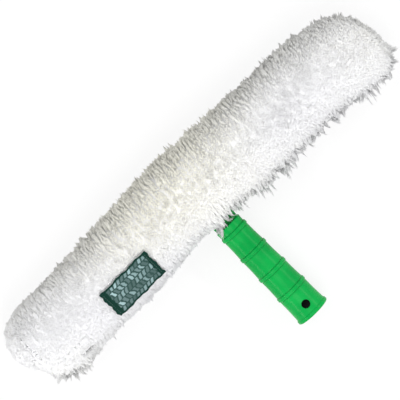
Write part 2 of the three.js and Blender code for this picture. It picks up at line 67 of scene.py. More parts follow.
# The CAD part's sizes, repeated from its source. The handle's run from the crossbar's middle.
HANDLE_START = 38.5 * MM
HANDLE_END = 134.4 * MM
RADIUS_AT_START = 11.7 * MM
RADIUS_AT_END = 14.2 * MM
FIRST_RING = 45.1 * MM
RING_PITCH = 21.2 * MM
RING_COUNT = 4
RING_WIDTH = 3.4 * MM
LIP_HEIGHT = 0.7 * MM
LIP_WIDTH = 3.2 * MM
SOCKET_DEPTH = 59 * MM
SOCKET_WALL = 2.4 * MM
SOCKET_TAPER = 1.7 * MM
LOCK_HOLE_FROM_END = 10.8 * MM
LOCK_HOLE_RADIUS = 3.6 * MM
TONGUE_END = 68.2 * MM
TONGUE_WIDTH = 15 * MM
NECK_THICKNESS = 9 * MM
FLAP_TIP = -192 * MM
SEWN_TIP = 187 * MM
FLEECE_HALF_WIDTH = 37.5 * MM
FLEECE_HALF_HEIGHT = 29.5 * MM
MOUTH_X = -176.6 * MM
LEG_CUT_X = -135.2 * MM
LEG_CUT_Y = -22.2 * MM
SLIT_END_X = 15.5 * MM
SECTION_POWER = 2.25
END_POWER = 7
END_HEIGHT_SHARE = 0.12
BACKING_END = 178.2 * MM
LABEL_SIZE = (49 * MM, 24 * MM)
LABEL_MIDDLE = (-84.2 * MM, -16 * MM)
LABEL_TURN = 0.012
LABEL_LIFT = 0.4 * MM
LABEL_THICKNESS = 0.7 * MM

# The grip's top is this much nearer the crossbar than its solid's
GRIP_LEAD = 1.2 * MM

# Its surface: a dip along each ring's top, a groove at each side of it, a waist between the rings,
# and the rounding of its rim
RING_DIP = 0.16 * MM
RING_GROOVE = 0.14 * MM
WAIST = 0.3 * MM
RIM_ROUNDING = 1.5 * MM
SPUN_SIDES = 96

# Inside it: room round the tongue, the screw's hole, and the liner's gap, wall and two ends
TONGUE_ROOM = 0.2 * MM
SCREW_HOLE_RADIUS = 2.1 * MM
LINER_GAP = 0.2 * MM
LINER_WALL = 1.3 * MM
LINER_SET_BACK = 1.2 * MM
LINER_FLOOR_GAP = 7.25 * MM

# Cloth that is fitted to the pile's form, where its solids stand out of it or show through it
HINGE_TAPE_INSET = 4 * MM
SEAM_TAPE_SHARES = (0.5, 0.5)
SEAM_TAPE_SHIFT = 7 * MM
BACKING_ROUND_START = 166 * MM
BACKING_ROUND_SHARE = 0.45
BACKING_LAST_CUT = BACKING_END - 2.2 * MM

# The dense pile between the strands: what of the solid counts as its outside, where its middle line
# ends, how low it may come, and how far the flap's reaches over the cut to the sleeve's
CORE_SKIN_LEVEL = 0.93
CORE_TIP_LENGTH = 2.5 * MM
CORE_AXIS_END = 170 * MM
CORE_FLOOR = 1.2 * MM
CORE_MEETING = 1.6 * MM
CORE_VOXEL = 1.6 * MM

# How light the dense pile is, from the handle's side to the far side: darker at both sides, which
# is painted shade in the gaps between the strands
CORE_SIDES = (-1, -0.8, 0.3, 0.85)
CORE_SHADED_TONES = (0.5, 0.95, 0.93, 0.7)
CORE_WARMTH = 0.3

# Strands: each has a tip and three rings, given as shares of its bend and of its width. The shades
# say how much of its painted shade, darker towards the root as if shaded by the strands around it,
# shows at the rings and at the tip.
STRANDS_A_PIECE = 12000
STRAND_RINGS = ((0, 1), (0.42, 0.97), (0.76, 0.8))
STRAND_ROOT_SHADE_STEPS = (1, 0.75, 0.3, 0)
STRAND_POINTS = 10

# Where strands grow: none in the path of the neck and the handle, and this share of them underneath
SLIT_HALF_HEIGHT = 5.2 * MM
UNDERSIDE_SHARE = 0.7

# How far a strand is drawn to its tuft's middle, and how far it may reach past the flap's tip
GATHER_LIMIT = 4.5 * MM
FLAP_TIP_ROOM = 2.6 * MM

# Radians over which directions round the fleece's section are measured
TURN_STEP = 0.004

# How much lower the pile is than its form: everywhere, at the mouth's end and under the label
PILE_DROP = 0.7 * MM
MOUTH_DROP = 0.8 * MM
LABEL_DROP = 2.4 * MM

# The pile that hangs over the handle's head: how far, how unevenly, and half its width
OVERHANG = 6.8 * MM
OVERHANG_SPREAD = 2.2 * MM
OVERHANG_HALF_WIDTH = 11 * MM

# The dip that shows where the flap meets the sleeve on the handle's side
CREASE_X = -144.5 * MM
CREASE_Y = -30.7 * MM
CREASE_HALF_LENGTH = 6 * MM
CREASE_WIDTH = 1.8 * MM
CREASE_DEPTH = 3 * MM

# The far corner of the sewn end: where the pile begins to be lower there, and by how much
CORNER_X = 166 * MM
CORNER_DROP = 1.8 * MM

# How strongly the tufts show, across the pile and along it, and how ragged its far side is
TEXTURE_SIDES = (-1, -0.6, -0.2, 0.2, 0.6, 1)
TEXTURE_SHARES = (0.5, 0.2, 0.25, 0.6, 0.85, 0.9)
TEXTURE_PLACES = np.array((-190, -130, -90, 60, 110, 185)) * MM
TEXTURE_ALONG = (0.15, 0.4, 1, 1, 0.6, 0.5)
FAR_EDGE_SHARES = (0.3, 0.55, 1, 1, 0.9, 0.8)

# How ragged the pile is at the handle's side, along the crossbar
FRINGE_PLACES = np.array((-190, -180, -174, -165, -150, -20, 12, 60, 185)) * MM
FRINGE_SHARES = (0.15, 0.3, 1, 0.9, 0.4, 0.3, 0.8, 1, 1)

# The fleece's outline from above: place as a share of the way to the tip on that side, then the far
# side and the handle side as shares of the half width.
OUTLINE_SHARES = np.array([
    (-1, 0.16, 0), (-0.99, 0.41, 0.2), (-0.955, 0.7, 0.5), (-0.915, 0.79, 0.92),
    (-0.875, 0.84, 1.04), (-0.83, 0.87, 1.1), (-0.79, 0.87, 1.12), (-0.71, 0.86, 1.01),
    (-0.59, 0.88, 0.98), (-0.43, 0.92, 1.02), (-0.26, 0.98, 0.94), (-0.1, 1.02, 0.87),
    (0.02, 1.01, 0.86), (0.1, 0.99, 0.91), (0.22, 0.96, 1.03), (0.43, 0.92, 1.03),
    (0.63, 0.89, 1.04), (0.71, 0.87, 1.08), (0.79, 0.81, 1.15), (0.87, 0.72, 1.21),
    (0.915, 0.63, 1.22), (0.955, 0.49, 1.14), (0.985, 0.28, 0.98), (1, -0.08, 0.68),
])

# Stitches across each end of the label, and points along and across its sheet
STITCH_COUNT = 11
LABEL_GRID = (97, 49)

# Lamps that face the origin: name, place, size and watts. Strip lamps, long in the handle's
# direction: name, degrees from overhead and watts.
LAMPS = (("key", (-0.35, -0.95, 1.7), 1.4, 19), ("fill", (-0.5, 0.9, 1.5), 1.2, 7.4))
STRIPS = (("strip_left", -66, 8), ("strip_right", 50, 7))
STRIP_DISTANCE = 1.6
STRIP_Y = -0.04
STRIP_SIZE = (0.12, 1.2)
WORLD_STRENGTH = 0.52

# How much of the surface's white the camera sees whatever light falls on it
SURFACE_SEEN = 0.82

# The camera: the height at which the frame's width is measured, and its place from the crossbar's
SENSOR_WIDTH = 36
FRAME_HEIGHT = 27 * MM
CAMERA_FROM_BAR = (-1.85 * MM, -8.7 * MM)


def washer_frame():
    """Matrix from the washer's own frame to the row frame, from the mount at the handle's end."""
    rim = next(m for m in frame["record"]["mounts"] if m["name"] == "pole_socket_rim")
    axis = Vector(rim["axis"])
    middle = Vector(rim["pos_m"]) - axis * HANDLE_END
    lowest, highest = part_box("crossbar_frame")
    middle.x = (lowest[0] + highest[0]) / 2
    tilt = math.atan2(-axis.z, -axis.y)
    return Matrix.Translation(middle) @ Matrix.Rotation(tilt, 4, "X")


TOOL = washer_frame()
TOOL_NP = np.array(TOOL)


def to_row(points):
    """Points of the washer's own frame as points of the row frame."""
    return points @ TOOL_NP[:3, :3].T + TOOL_NP[:3, 3]


def to_tool(points):
    """Points of the row frame as points of the washer's own frame."""
    return (points - TOOL_NP[:3, 3]) @ TOOL_NP[:3, :3]


# --------------------------------------------------------------------------- number helpers


def climb(value, start, width):
    """Nothing up to start, one from start + width on, and straight between."""
    return np.clip((value - start) / width, 0, 1)


def hump(value, width):
    """One at nothing, falling away on both sides."""
    return np.exp(-((value / width) ** 2))


def lengths(vectors):
    return np.linalg.norm(vectors, axis=1, keepdims=True)


def part_along(vectors, directions):
    """The parts of vectors that run along unit directions."""
    return np.sum(vectors * directions, axis=1, keepdims=True) * directions


def scaled(color, share):
    return tuple(c * share for c in color)


# --------------------------------------------------------------------------- modelling helpers


def new_object(name, data):
    made = bpy.data.objects.new(name, data)
    bpy.context.collection.objects.link(made)
    return made


def copy_of(node, name):
    """A CAD node's mesh as a new piece."""
    return new_object(name, frame["nodes"][node].data.copy())


def deselect():
    if bpy.context.object and bpy.context.object.mode != "OBJECT":
        bpy.ops.object.mode_set(mode="OBJECT")
    bpy.ops.object.select_all(action="DESELECT")


def activate(piece):
    deselect()
    piece.select_set(True)
    bpy.context.view_layer.objects.active = piece


def edit(piece, *steps):
    """Runs steps in edit mode, each with all of the piece selected."""
    activate(piece)
    bpy.ops.object.mode_set(mode="EDIT")
    for step, options in steps:
        bpy.ops.mesh.select_all(action="SELECT")
        step(**options)
    bpy.ops.object.mode_set(mode="OBJECT")


def outward(piece, merge=1e-6):
    edit(piece, (bpy.ops.mesh.remove_doubles, {"threshold": merge}),
         (bpy.ops.mesh.normals_make_consistent, {"inside": False}))


def modify(piece, name, kind, **options):
    """Adds a modifier and applies it."""
    modifier = piece.modifiers.new(name, kind)
    for option, value in options.items():
        setattr(modifier, option, value)
    activate(piece)
    bpy.ops.object.modifier_apply(modifier=modifier.name)


def cut_with(piece, cutter):
    modify(piece, "cut", "BOOLEAN", operation="DIFFERENCE", solver="EXACT", object=cutter)
    bpy.data.objects.remove(cutter, do_unlink=True)


def settle(piece):
    """Puts a piece of the washer's own frame in the row frame, with its object at the origin."""
    piece.matrix_world = TOOL @ piece.matrix_world
    activate(piece)
    bpy.ops.object.transform_apply(location=True, rotation=True, scale=True)


def mesh_piece(name, verts, faces):
    """A new mesh object from arrays of points and of faces that all have as many corners."""
    mesh = bpy.data.meshes.new(name)
    verts = np.asarray(verts, dtype=np.float32)
    faces = np.asarray(faces, dtype=np.int32)
    mesh.vertices.add(len(verts))
    mesh.vertices.foreach_set("co", verts.ravel())
    corners = faces.shape[1]
    mesh.loops.add(faces.size)
    mesh.loops.foreach_set("vertex_index", faces.ravel())
    mesh.polygons.add(len(faces))
    mesh.polygons.foreach_set("loop_start", np.arange(0, faces.size, corners, dtype=np.int32))
    mesh.update(calc_edges=True)
    mesh.validate()
    return new_object(name, mesh)


def points_of(piece):
    """A piece's points, a row each."""
    flat = np.empty(len(piece.data.vertices) * 3, dtype=np.float32)
    piece.data.vertices.foreach_get("co", flat)
    return flat.reshape(-1, 3)


def smooth(piece, angle=None):
    activate(piece)
    if angle is None:
        bpy.ops.object.shade_smooth()
    else:
        bpy.ops.object.shade_smooth_by_angle(angle=math.radians(angle))


def dress(piece, material):
    piece.data.materials.clear()
    piece.data.materials.append(material)


def add_attribute(piece, name, values):
    layer = piece.data.attributes.new(name, "FLOAT", "POINT")
    layer.data.foreach_set("value", np.asarray(values, dtype=np.float32))


# --------------------------------------------------------------------------- materials


class Graph:
    """Adds nodes to a shader's tree. Their inputs take numbers, colours or other nodes' outputs."""

    def __init__(self, tree):
        self.tree = tree
        self.nodes = tree.nodes

    def fill(self, node, inputs):
        for name, value in inputs.items():
            if isinstance(value, bpy.types.NodeSocket):
                self.tree.links.new(value, node.inputs[name])
            else:
                node.inputs[name].default_value = value

    def add(self, kind, inputs=None, **options):
        node = self.nodes.new("ShaderNode" + kind)
        for option, value in options.items():
            setattr(node, option, value)
        self.fill(node, inputs or {})
        return node

    def math(self, operation, *values):
        return self.add("Math", dict(enumerate(values)), operation=operation).outputs[0]

    def times(self, a, b):
        return self.math("MULTIPLY", a, b)

    def plus(self, a, b):
        return self.math("ADD", a, b)

    def minus(self, a, b):
        return self.math("SUBTRACT", a, b)

    def coordinates(self):
        return self.add("TexCoord").outputs["Object"]

    def attribute(self, name):
        return self.add("Attribute", attribute_name=name).outputs["Fac"]

    def noise(self, where, scale, detail=2):
        inputs = {"Vector": where, "Scale": scale, "Detail": detail}
        return self.add("TexNoise", inputs).outputs["Fac"]

    def group(self, tree, **inputs):
        return self.add("Group", inputs, node_tree=tree).outputs

    def mix(self, share, a, b, blend="MIX"):
        inputs = {"Factor": share, "A": a, "B": b}
        return self.add("Mix", inputs, data_type="RGBA", blend_type=blend).outputs["Result"]

    def mix_shaders(self, share, a, b):
        return self.add("MixShader", {"Fac": share, 1: a, 2: b}).outputs[0]

    def ramp(self, value, stops):
        node = self.add("ValToRGB", {"Fac": value})
        elements = node.color_ramp.elements
        for i, (place, color) in enumerate(stops):
            element = elements[i] if i < 2 else elements.new(place)
            element.position = place
            element.color = (*color, 1)
        return node.outputs["Color"]

    def bump(self, height, distance, strength):
        inputs = {"Height": height, "Distance": distance, "Strength": strength}
        return self.add("Bump", inputs).outputs["Normal"]


def new_material(name):
    """A new material, its graph and its shader node."""
    material = bpy.data.materials.new(name)
    material.use_nodes = True
    graph = Graph(material.node_tree)
    return material, graph, graph.nodes["Principled BSDF"]


def new_group(name, inputs, outputs):
    """A node group, its graph and its ends. Inputs are names and defaults, None for a vector."""
    group = bpy.data.node_groups.new(name, "ShaderNodeTree")
    for title, default in inputs.items():
        kind = "NodeSocketVector" if default is None else "NodeSocketFloat"
        made = group.interface.new_socket(name=title, in_out="INPUT", socket_type=kind)
        if default is not None:
            made.default_value = default
    for title in outputs:
        group.interface.new_socket(name=title, in_out="OUTPUT", socket_type="NodeSocketFloat")
    ends = [group.nodes.new(kind) for kind in ("NodeGroupInput", "NodeGroupOutput")]
    return group, Graph(group), *ends


def grain_group():
    """Fine moulded grain: a height and a small change of roughness."""
    group, graph, inputs, outputs = new_group(
        "moulded_grain", {"Scale": 900, "Roughness": 0.4, "Spread": 0.1}, ("Roughness", "Height"))
    where = graph.coordinates()
    fine = graph.noise(where, inputs.outputs["Scale"], 3)
    broad = graph.minus(graph.noise(where, 60, 5), 0.5)
    spread = graph.times(broad, inputs.outputs["Spread"])
    graph.fill(outputs, {
        "Roughness": graph.plus(inputs.outputs["Roughness"], spread), "Height": fine})
    return group


def weave_group():
    """Plain weave from crossed waves, on the coordinates that it is given."""
    group, graph, inputs, outputs = new_group(
        "plain_weave", {"Vector": None, "Scale": 900}, ("Height",))
    heights = []
    for axis in ("X", "Y", "Z"):
        wave = graph.add("TexWave", {
            "Vector": inputs.outputs["Vector"], "Scale": inputs.outputs["Scale"],
            "Distortion": 0.6, "Detail": 1}, bands_direction=axis)
        heights.append(wave.outputs["Fac"])
    first = graph.math("MAXIMUM", heights[0], heights[1])
    graph.fill(outputs, {"Height": graph.plus(first, heights[2])})
    return group


def plastic(name, color, roughness, grain, specular=0.2, groove_shade_attribute=None):
    material, graph, shader = new_material(name)
    skin = graph.group(grain, Roughness=roughness, Scale=1400, Spread=0.16)
    cloudy = graph.noise(graph.coordinates(), 35, 4)
    light = tuple(min(1, c * 1.1 + 0.004) for c in color)
    shade = graph.ramp(cloudy, [(0.35, scaled(color, 0.86)), (0.65, light)])
    # painted shade: the plastic is darker where the groove shade attribute is high, in the grooves
    if groove_shade_attribute:
        shade = graph.mix(graph.attribute(groove_shade_attribute), shade, (*scaled(color, 0.45), 1))
    graph.fill(shader, {
        "Base Color": shade, "Roughness": skin["Roughness"], "Specular IOR Level": specular,
        "Normal": graph.bump(skin["Height"], 0.03 * MM, 0.25)})
    return material


def metal(name, color, roughness, grain):
    material, graph, shader = new_material(name)
    skin = graph.group(grain, Roughness=roughness, Scale=3000, Spread=0.3)
    stain = graph.noise(graph.coordinates(), 400)
    graph.fill(shader, {
        "Base Color": graph.ramp(stain, [(0.4, scaled(color, 0.7)), (0.6, color)]),
        "Roughness": skin["Roughness"], "Metallic": 1,
        "Normal": graph.bump(skin["Height"], 0.02 * MM, 0.3)})
    return material


def cloth(name, color, weave, scale, depth=0.12 * MM, roughness=0.9):
    material, graph, shader = new_material(name)
    where = graph.coordinates()
    height = graph.group(weave, Vector=where, Scale=scale)["Height"]
    # darker in soft patches and where the weave is low, which is painted shade between the threads
    patches_and_weave_shade = graph.times(graph.noise(where, 120, 5), height)
    graph.fill(shader, {
        "Base Color": graph.ramp(patches_and_weave_shade, [(0.1, scaled(color, 0.72)), (0.55, color)]),
        "Roughness": roughness, "Sheen Weight": 0.15, "Sheen Roughness": 0.5,
        "Normal": graph.bump(height, depth, 0.7)})
    return material


def fleece_material(color, warm):
    """Fibres: warmer in patches, with a painted tint of warm shade on the far side and of cool
    shade on the handle's side; each strand a little darker or lighter, and darker towards its root,
    which is painted shade.
    """
    material, graph, shader = new_material("fleece_fibre")
    cool_shade_tint = tuple(c * share for c, share in zip(color, (0.955, 0.95, 0.975)))
    tint = graph.ramp(graph.attribute("warmth_and_shade_tint"), [(0, cool_shade_tint), (0.3, color), (1, warm)])
    graph.fill(shader, {
        "Base Color": graph.mix(1, tint, graph.attribute("tone"), "MULTIPLY"),
        "Roughness": 0.85, "Sheen Weight": 0.05, "Sheen Roughness": 0.4})
    return material


def label_material(ground, mark, weave):
    """Woven label: a dark ground with rows of slanting strokes, turned over in every second row."""
    material, graph, shader = new_material("label_weave")
    times, plus, minus = graph.times, graph.plus, graph.minus

    def floor(value):
        return graph.math("FLOOR", value)

    def fract(value):
        return graph.math("FRACT", value)

    def away_from_middle(value):
        return graph.math("ABSOLUTE", minus(fract(value), 0.5))

    def fade(value, start, end):
        inputs = {"Value": value, "From Min": start, "From Max": end}
        node = graph.add("MapRange", inputs, interpolation_type="SMOOTHSTEP")
        return node.outputs["Result"]

    uv = graph.add("UVMap").outputs["UV"]
    shift = times(minus(graph.noise(uv, 9), 0.5), 0.06)
    split = graph.add("SeparateXYZ", {0: uv}).outputs
    along, across = plus(split["X"], shift), plus(split["Y"], shift)
    row = times(across, 5)
    number = floor(row)
    turned = minus(times(graph.math("MODULO", number, 2), 2), 1)
    step = plus(times(along, 13), times(fract(row), times(turned, 0.55)))
    seed = graph.add("CombineXYZ", {"X": floor(step), "Y": number}).outputs[0]
    chance = graph.add("TexWhiteNoise", {"Vector": seed}).outputs["Value"]
    tone = plus(times(graph.math("POWER", chance, 2), 0.85), 0.1)
    stroke = times(fade(away_from_middle(step), 0.42, 0.2), tone)
    in_row = fade(away_from_middle(row), 0.48, 0.36)
    field = times(times(fade(along, 0.1, 0.12), fade(along, 0.935, 0.915)),
                  times(fade(across, 0.05, 0.08), fade(across, 0.95, 0.92)))
    threads = graph.group(weave, Vector=graph.coordinates(), Scale=1500)["Height"]
    # the strokes are darker where the threads are low: painted shade between the threads
    weave_shade = plus(times(threads, 0.3), 0.55)
    mask = times(times(stroke, in_row), times(field, weave_shade))
    share = plus(mask, times(field, 0.07))
    graph.fill(shader, {
        "Base Color": graph.mix(share, (*ground, 1), (*mark, 1)),
        "Roughness": 0.7, "Specular IOR Level": 0.1,
        "Normal": graph.bump(plus(mask, threads), 0.1 * MM, 0.6)})
    return material


GROUPS = {}


def shared(name, make):
    if name not in GROUPS:
        GROUPS[name] = make()
    return GROUPS[name]


# --------------------------------------------------------------------------- the fleece's form


def outline_at(x):
    """The outline's middle, half width and half height at places along the crossbar."""
    place = np.clip(np.where(x < 0, -x / FLAP_TIP, x / SEWN_TIP), -1, 1)
    far = FLEECE_HALF_WIDTH * np.interp(place, OUTLINE_SHARES[:, 0], OUTLINE_SHARES[:, 1])
    near = FLEECE_HALF_WIDTH * np.interp(place, OUTLINE_SHARES[:, 0], OUTLINE_SHARES[:, 2])
    full = (1 - np.abs(place) ** END_POWER) ** (1 / END_POWER)
    height = FLEECE_HALF_HEIGHT * np.maximum(END_HEIGHT_SHARE, full)
    return (far - near) / 2, (far + near) / 2, height


def side_of(x, y):
    """How far across the outline places are: -1 at the handle's side, 1 at the far side."""
    middle, half, _ = outline_at(x)
    return (y - middle) / half


def fleece_point(x, angle):
    """Points on the fleece's outer form."""
    middle, half, height = outline_at(x)

    def bulge(value):
        return np.sign(value) * np.abs(value) ** (2 / SECTION_POWER)

    y = middle + half * bulge(np.cos(angle))
    return np.stack([x, y, height * bulge(np.sin(angle))], -1)


def around_form(x, angle, turn):
    """Steps round the fleece's section, from one turn before each angle to one turn after it."""
    return fleece_point(x, angle + turn) - fleece_point(x, angle - turn)


def fleece_normal(x, angle):
    step = 2.5 * MM
    first, last = FLAP_TIP + 0.1 * MM, SEWN_TIP - 0.1 * MM
    along = (fleece_point(np.clip(x + step, first, last), angle)
             - fleece_point(np.clip(x - step, first, last), angle))
    normal = np.cross(around_form(x, angle, TURN_STEP), along)
    return normal / lengths(normal)


def fleece_top(x, y):
    across = np.abs(side_of(x, y))
    height = outline_at(x)[2]
    return height * (1 - np.clip(across, 0, 0.999) ** SECTION_POWER) ** (1 / SECTION_POWER)


def soft_noise(points, scale, seed):
    """Smooth noise from a few crossed sines, one value a point, about -1 to 1."""
    rng = np.random.default_rng(seed)
    total = np.zeros(len(points))
    for _ in range(6):
        direction = rng.normal(size=3)
        direction /= np.linalg.norm(direction)
        rate = scale * rng.uniform(0.6, 1.6)
        total += np.sin(points @ direction * rate + rng.uniform(0, 2 * math.pi))
    return total / 2.4


def noise_vectors(points, scale, seed):
    return np.stack([soft_noise(points, scale, seed + i) for i in range(3)], -1)


def strand_roots(rng, count):
    """Evenly spread places on the fleece's outer form, as arrays of x and angle."""
    tries = count * 4
    x = rng.uniform(FLAP_TIP + 0.2 * MM, SEWN_TIP - 0.2 * MM, tries)
    angle = rng.uniform(0, 2 * math.pi, tries)
    step, turn = 0.4 * MM, 0.01
    along = (fleece_point(np.minimum(x + step, SEWN_TIP), angle) - fleece_point(x, angle)) / step
    around = around_form(x, angle, turn) / (2 * turn)
    area = np.linalg.norm(np.cross(along, around), axis=1)
    keep = rng.uniform(0, np.quantile(area, 0.995), len(area)) < area
    return x[keep][:count], angle[keep][:count]


def end_face_roots(rng):
    """Places on the two small faces that close the pile's form at its tips, with their normals."""
    made = []
    for tip, inset, count in ((FLAP_TIP, 0.2 * MM, 150), (SEWN_TIP, -0.2 * MM, 420)):
        x = np.full(count, tip + inset)
        angle = rng.uniform(0, 2 * math.pi, count)
        edge = fleece_point(x, angle)
        middle = np.array([tip, (edge[:, 1].max() + edge[:, 1].min()) / 2, 0])
        roots = middle + (edge - middle) * np.sqrt(rng.uniform(size=count))[:, None]
        normals = np.tile([math.copysign(1.0, tip), 0.0, 0.02], (count, 1))
        made.append((x, angle, roots, normals))
    return [np.concatenate(parts) for parts in zip(*made)]


# --------------------------------------------------------------------------- settings


class FleeceSettings(bpy.types.PropertyGroup):
    strands: bpy.props.IntProperty(
        name="Strands", description="How many strands are tried in all", default=104000, min=1000)
    pile_depth: bpy.props.FloatProperty(
        name="Pile depth", description="Depth of the strands' roots below the pile's surface",
        default=8 * MM, unit="LENGTH")
    tufts_per_strand: bpy.props.FloatProperty(
        name="Tufts", description="Tufts, as a share of the strands", default=0.13, min=0.01, max=1)
    core_depth: bpy.props.FloatProperty(
        name="Core depth", description="How deep between the strands the dense pile begins",
        default=3.4 * MM, unit="LENGTH")
    strand_width: bpy.props.FloatProperty(
        name="Strand width", description="Width of a strand near its root", default=0.92 * MM,
        unit="LENGTH")
    color: bpy.props.FloatVectorProperty(
        name="Colour", description="Colour of clean fibres", subtype="COLOR",
        default=(0.98, 0.982, 0.985))
    # the warm colour is also the painted tint of warm shade on the fleece's far side
    warm_color: bpy.props.FloatVectorProperty(
        name="Warm patches", description="Colour of the slightly yellowed patches", subtype="COLOR",
        default=(0.978, 0.965, 0.865))


class HandleSettings(bpy.types.PropertyGroup):
    ring_height: bpy.props.FloatProperty(
        name="Ring height", description="How far each ring stands out of the grip",
        default=0.65 * MM, unit="LENGTH")
    color: bpy.props.FloatVectorProperty(
        name="Colour", description="Colour of the green plastic", subtype="COLOR",
        default=(0.0005, 0.335, 0.056))
    liner_color: bpy.props.FloatVectorProperty(
        name="Liner colour", description="Colour of the liner in the pole socket", subtype="COLOR",
        default=(0.006, 0.006, 0.0065))


class LabelSettings(bpy.types.PropertyGroup):
    ground: bpy.props.FloatVectorProperty(
        name="Ground", description="Colour of the label's ground", subtype="COLOR",
        default=(0.004, 0.034, 0.024))
    mark: bpy.props.FloatVectorProperty(
        name="Pattern", description="Colour of the label's woven pattern", subtype="COLOR",
        default=(0.42, 0.6, 0.62))


class ClothSettings(bpy.types.PropertyGroup):
    edge: bpy.props.FloatProperty(
        name="Edge rounding", description="Rounding of the cloth's and tapes' edges",
        default=0.25 * MM, unit="LENGTH")
    backing: bpy.props.FloatVectorProperty(
        name="Backing", description="Colour of the woven backing", subtype="COLOR",
        default=(0.78, 0.77, 0.72))
    tape: bpy.props.FloatVectorProperty(
        name="Tape", description="Colour of the bindings and tapes", subtype="COLOR",
        default=(0.86, 0.855, 0.82))


class StageSettings(bpy.types.PropertyGroup):
    camera_height: bpy.props.FloatProperty(
        name="Camera height", description="Height of the camera over the surface", default=2.0,
        unit="LENGTH")
    frame_width: bpy.props.FloatProperty(
        name="Frame width", description="Width of the photograph's frame at the washer",
        default=0.312, unit="LENGTH")
    roll: bpy.props.FloatProperty(
        name="Roll", description="How far the crossbar is turned from level in the frame",
        default=math.radians(44.6), subtype="ANGLE")


# --------------------------------------------------------------------------- fleece


def pull_clear(points, weight):
    """Keeps strand points off the surface below and out of the handle's head."""
    beside, before, room = 16 * MM, 2.5 * MM, 0.9 * MM
    head = (np.abs(points[:, 0]) < beside) & (points[:, 1] < -(HANDLE_START - before))
    reach = np.hypot(points[:, 0], points[:, 2])
    wanted = RADIUS_AT_START + room
    inside = head & (reach < wanted)
    factor = wanted / np.maximum(reach[inside], 1e-5)
    points[inside, 0] *= factor
    points[inside, 2] *= factor
    row = to_row(points)
    row[:, 2] = np.maximum(row[:, 2], 0.35 * MM + 0.9 * MM * weight)
    return to_tool(row)


def lock_stretch(side):
    """How many times longer than wide a tuft's footprint is: long locks lie on the slopes."""
    return 1.7 + 1.6 * climb(side, 0.05, 0.45) + 0.6 * climb(-side, 0.5, 0.35)


def lock_places(x, angle):
    """Places on the pile's skin, shortened round its section as far as the tufts are stretched."""
    start = -math.pi / 2
    turns = np.linspace(start, 1.5 * math.pi, 721)
    ring = fleece_point(np.zeros(len(turns)), turns)[:, 1:]
    side = side_of(np.zeros(1), ring[:, 0])
    steps = np.linalg.norm(np.diff(ring, axis=0), axis=1)
    arc = np.concatenate([[0], np.cumsum(steps / lock_stretch((side[1:] + side[:-1]) / 2))])
    turn = np.mod(angle - start, 2 * math.pi) + start
    half, half_here = outline_at(np.zeros(1))[1], outline_at(x)[1]
    around = np.interp(turn, turns, arc) * half_here / half
    return np.stack([x, around, np.zeros(len(x))], -1)


def nearest_tuft(places, centres):
    """For each place, the number of the nearest tuft's middle."""
    tree = kdtree.KDTree(len(centres))
    for i, centre in enumerate(centres):
        tree.insert(centre, i)
    tree.balance()
    return np.fromiter((tree.find(place)[1] for place in places), dtype=np.int64, count=len(places))


def make_strands(name, roots, normals, tips, widths, depth, rng, tones, warmth_and_shade_tint, painted_root_shade):
    """Tapered bent strands, each three-sided with three rings and a tip, as one piece."""
    count = len(roots)
    tangent = np.cross(normals, np.array([0.0, 0.0, 1.0]) + 0.001)
    tangent /= lengths(tangent)
    other = np.cross(normals, tangent)
    base = roots - normals * depth[:, None]
    reach = tips - roots
    rise = np.sum(reach * normals, axis=1)
    bend = base + normals * (depth + rise * 0.5)[:, None] + (reach - normals * rise[:, None]) * 0.15
    spin = rng.uniform(0, 2 * math.pi, count)
    verts = np.empty((count, STRAND_POINTS, 3))
    for ring, (share, taper) in enumerate(STRAND_RINGS):
        centre = (1 - share) ** 2 * base + 2 * share * (1 - share) * bend + share ** 2 * tips
        centre = pull_clear(centre, share)
        for side in range(3):
            angle = spin + side * 2 * math.pi / 3
            offset = tangent * np.cos(angle)[:, None] + other * np.sin(angle)[:, None]
            verts[:, ring * 3 + side] = centre + offset * (widths * taper / 2)[:, None]
    verts[:, -1] = pull_clear(tips.copy(), 1)
    pattern = []
    for first in (0, 3):
        for side in range(3):
            a, b = first + side, first + (side + 1) % 3
            pattern += [(a, b, b + 3), (a, b + 3, a + 3)]
    pattern += [(6 + side, 6 + (side + 1) % 3, 9) for side in range(3)] + [(2, 1, 0)]
    firsts = np.arange(count) * STRAND_POINTS
    faces = (np.array(pattern)[None] + firsts[:, None, None]).reshape(-1, 3)
    piece = mesh_piece(name, to_row(verts.reshape(-1, 3)), faces)
    # tone: each strand's own lightness, made darker towards its root by painted shade
    shade = np.repeat(STRAND_ROOT_SHADE_STEPS, (3, 3, 3, 1))
    add_attribute(piece, "tone", (tones[:, None] * (1 - painted_root_shade[:, None] * shade)).ravel())
    add_attribute(piece, "warmth_and_shade_tint", np.repeat(warmth_and_shade_tint, STRAND_POINTS))
    piece.data.shade_smooth()
    # fibres scatter light among themselves, so they shade mostly as the pile's surface does
    own = np.empty(verts.size, dtype=np.float32)
    piece.data.vertices.foreach_get("normal", own)
    facing = np.repeat(normals @ TOOL_NP[:3, :3].T, STRAND_POINTS, axis=0)
    share = np.repeat(0.15 + 0.5 * painted_root_shade, STRAND_POINTS)[:, None]
    mixed = own.reshape(-1, 3) * share + facing * (1 - share)
    mixed /= lengths(mixed)
    piece.data.normals_split_custom_set_from_vertices(mixed)
    return piece


def under_label(points):
    """One for roots that the label covers, falling to nothing within a millimetre or so of it."""
    x, y = points[:, 0] - LABEL_MIDDLE[0], points[:, 1] - LABEL_MIDDLE[1]
    along = x * math.cos(LABEL_TURN) + y * math.sin(LABEL_TURN)
    across = -x * math.sin(LABEL_TURN) + y * math.cos(LABEL_TURN)
    beyond = np.maximum(np.abs(along) - LABEL_SIZE[0] / 2, np.abs(across) - LABEL_SIZE[1] / 2)
    return (1 - climb(beyond, 0.2 * MM, 1.2 * MM)) * (points[:, 2] > 0)


def in_flap(points):
    return (points[:, 0] < MOUTH_X) | ((points[:, 0] < LEG_CUT_X) & (points[:, 1] < LEG_CUT_Y))


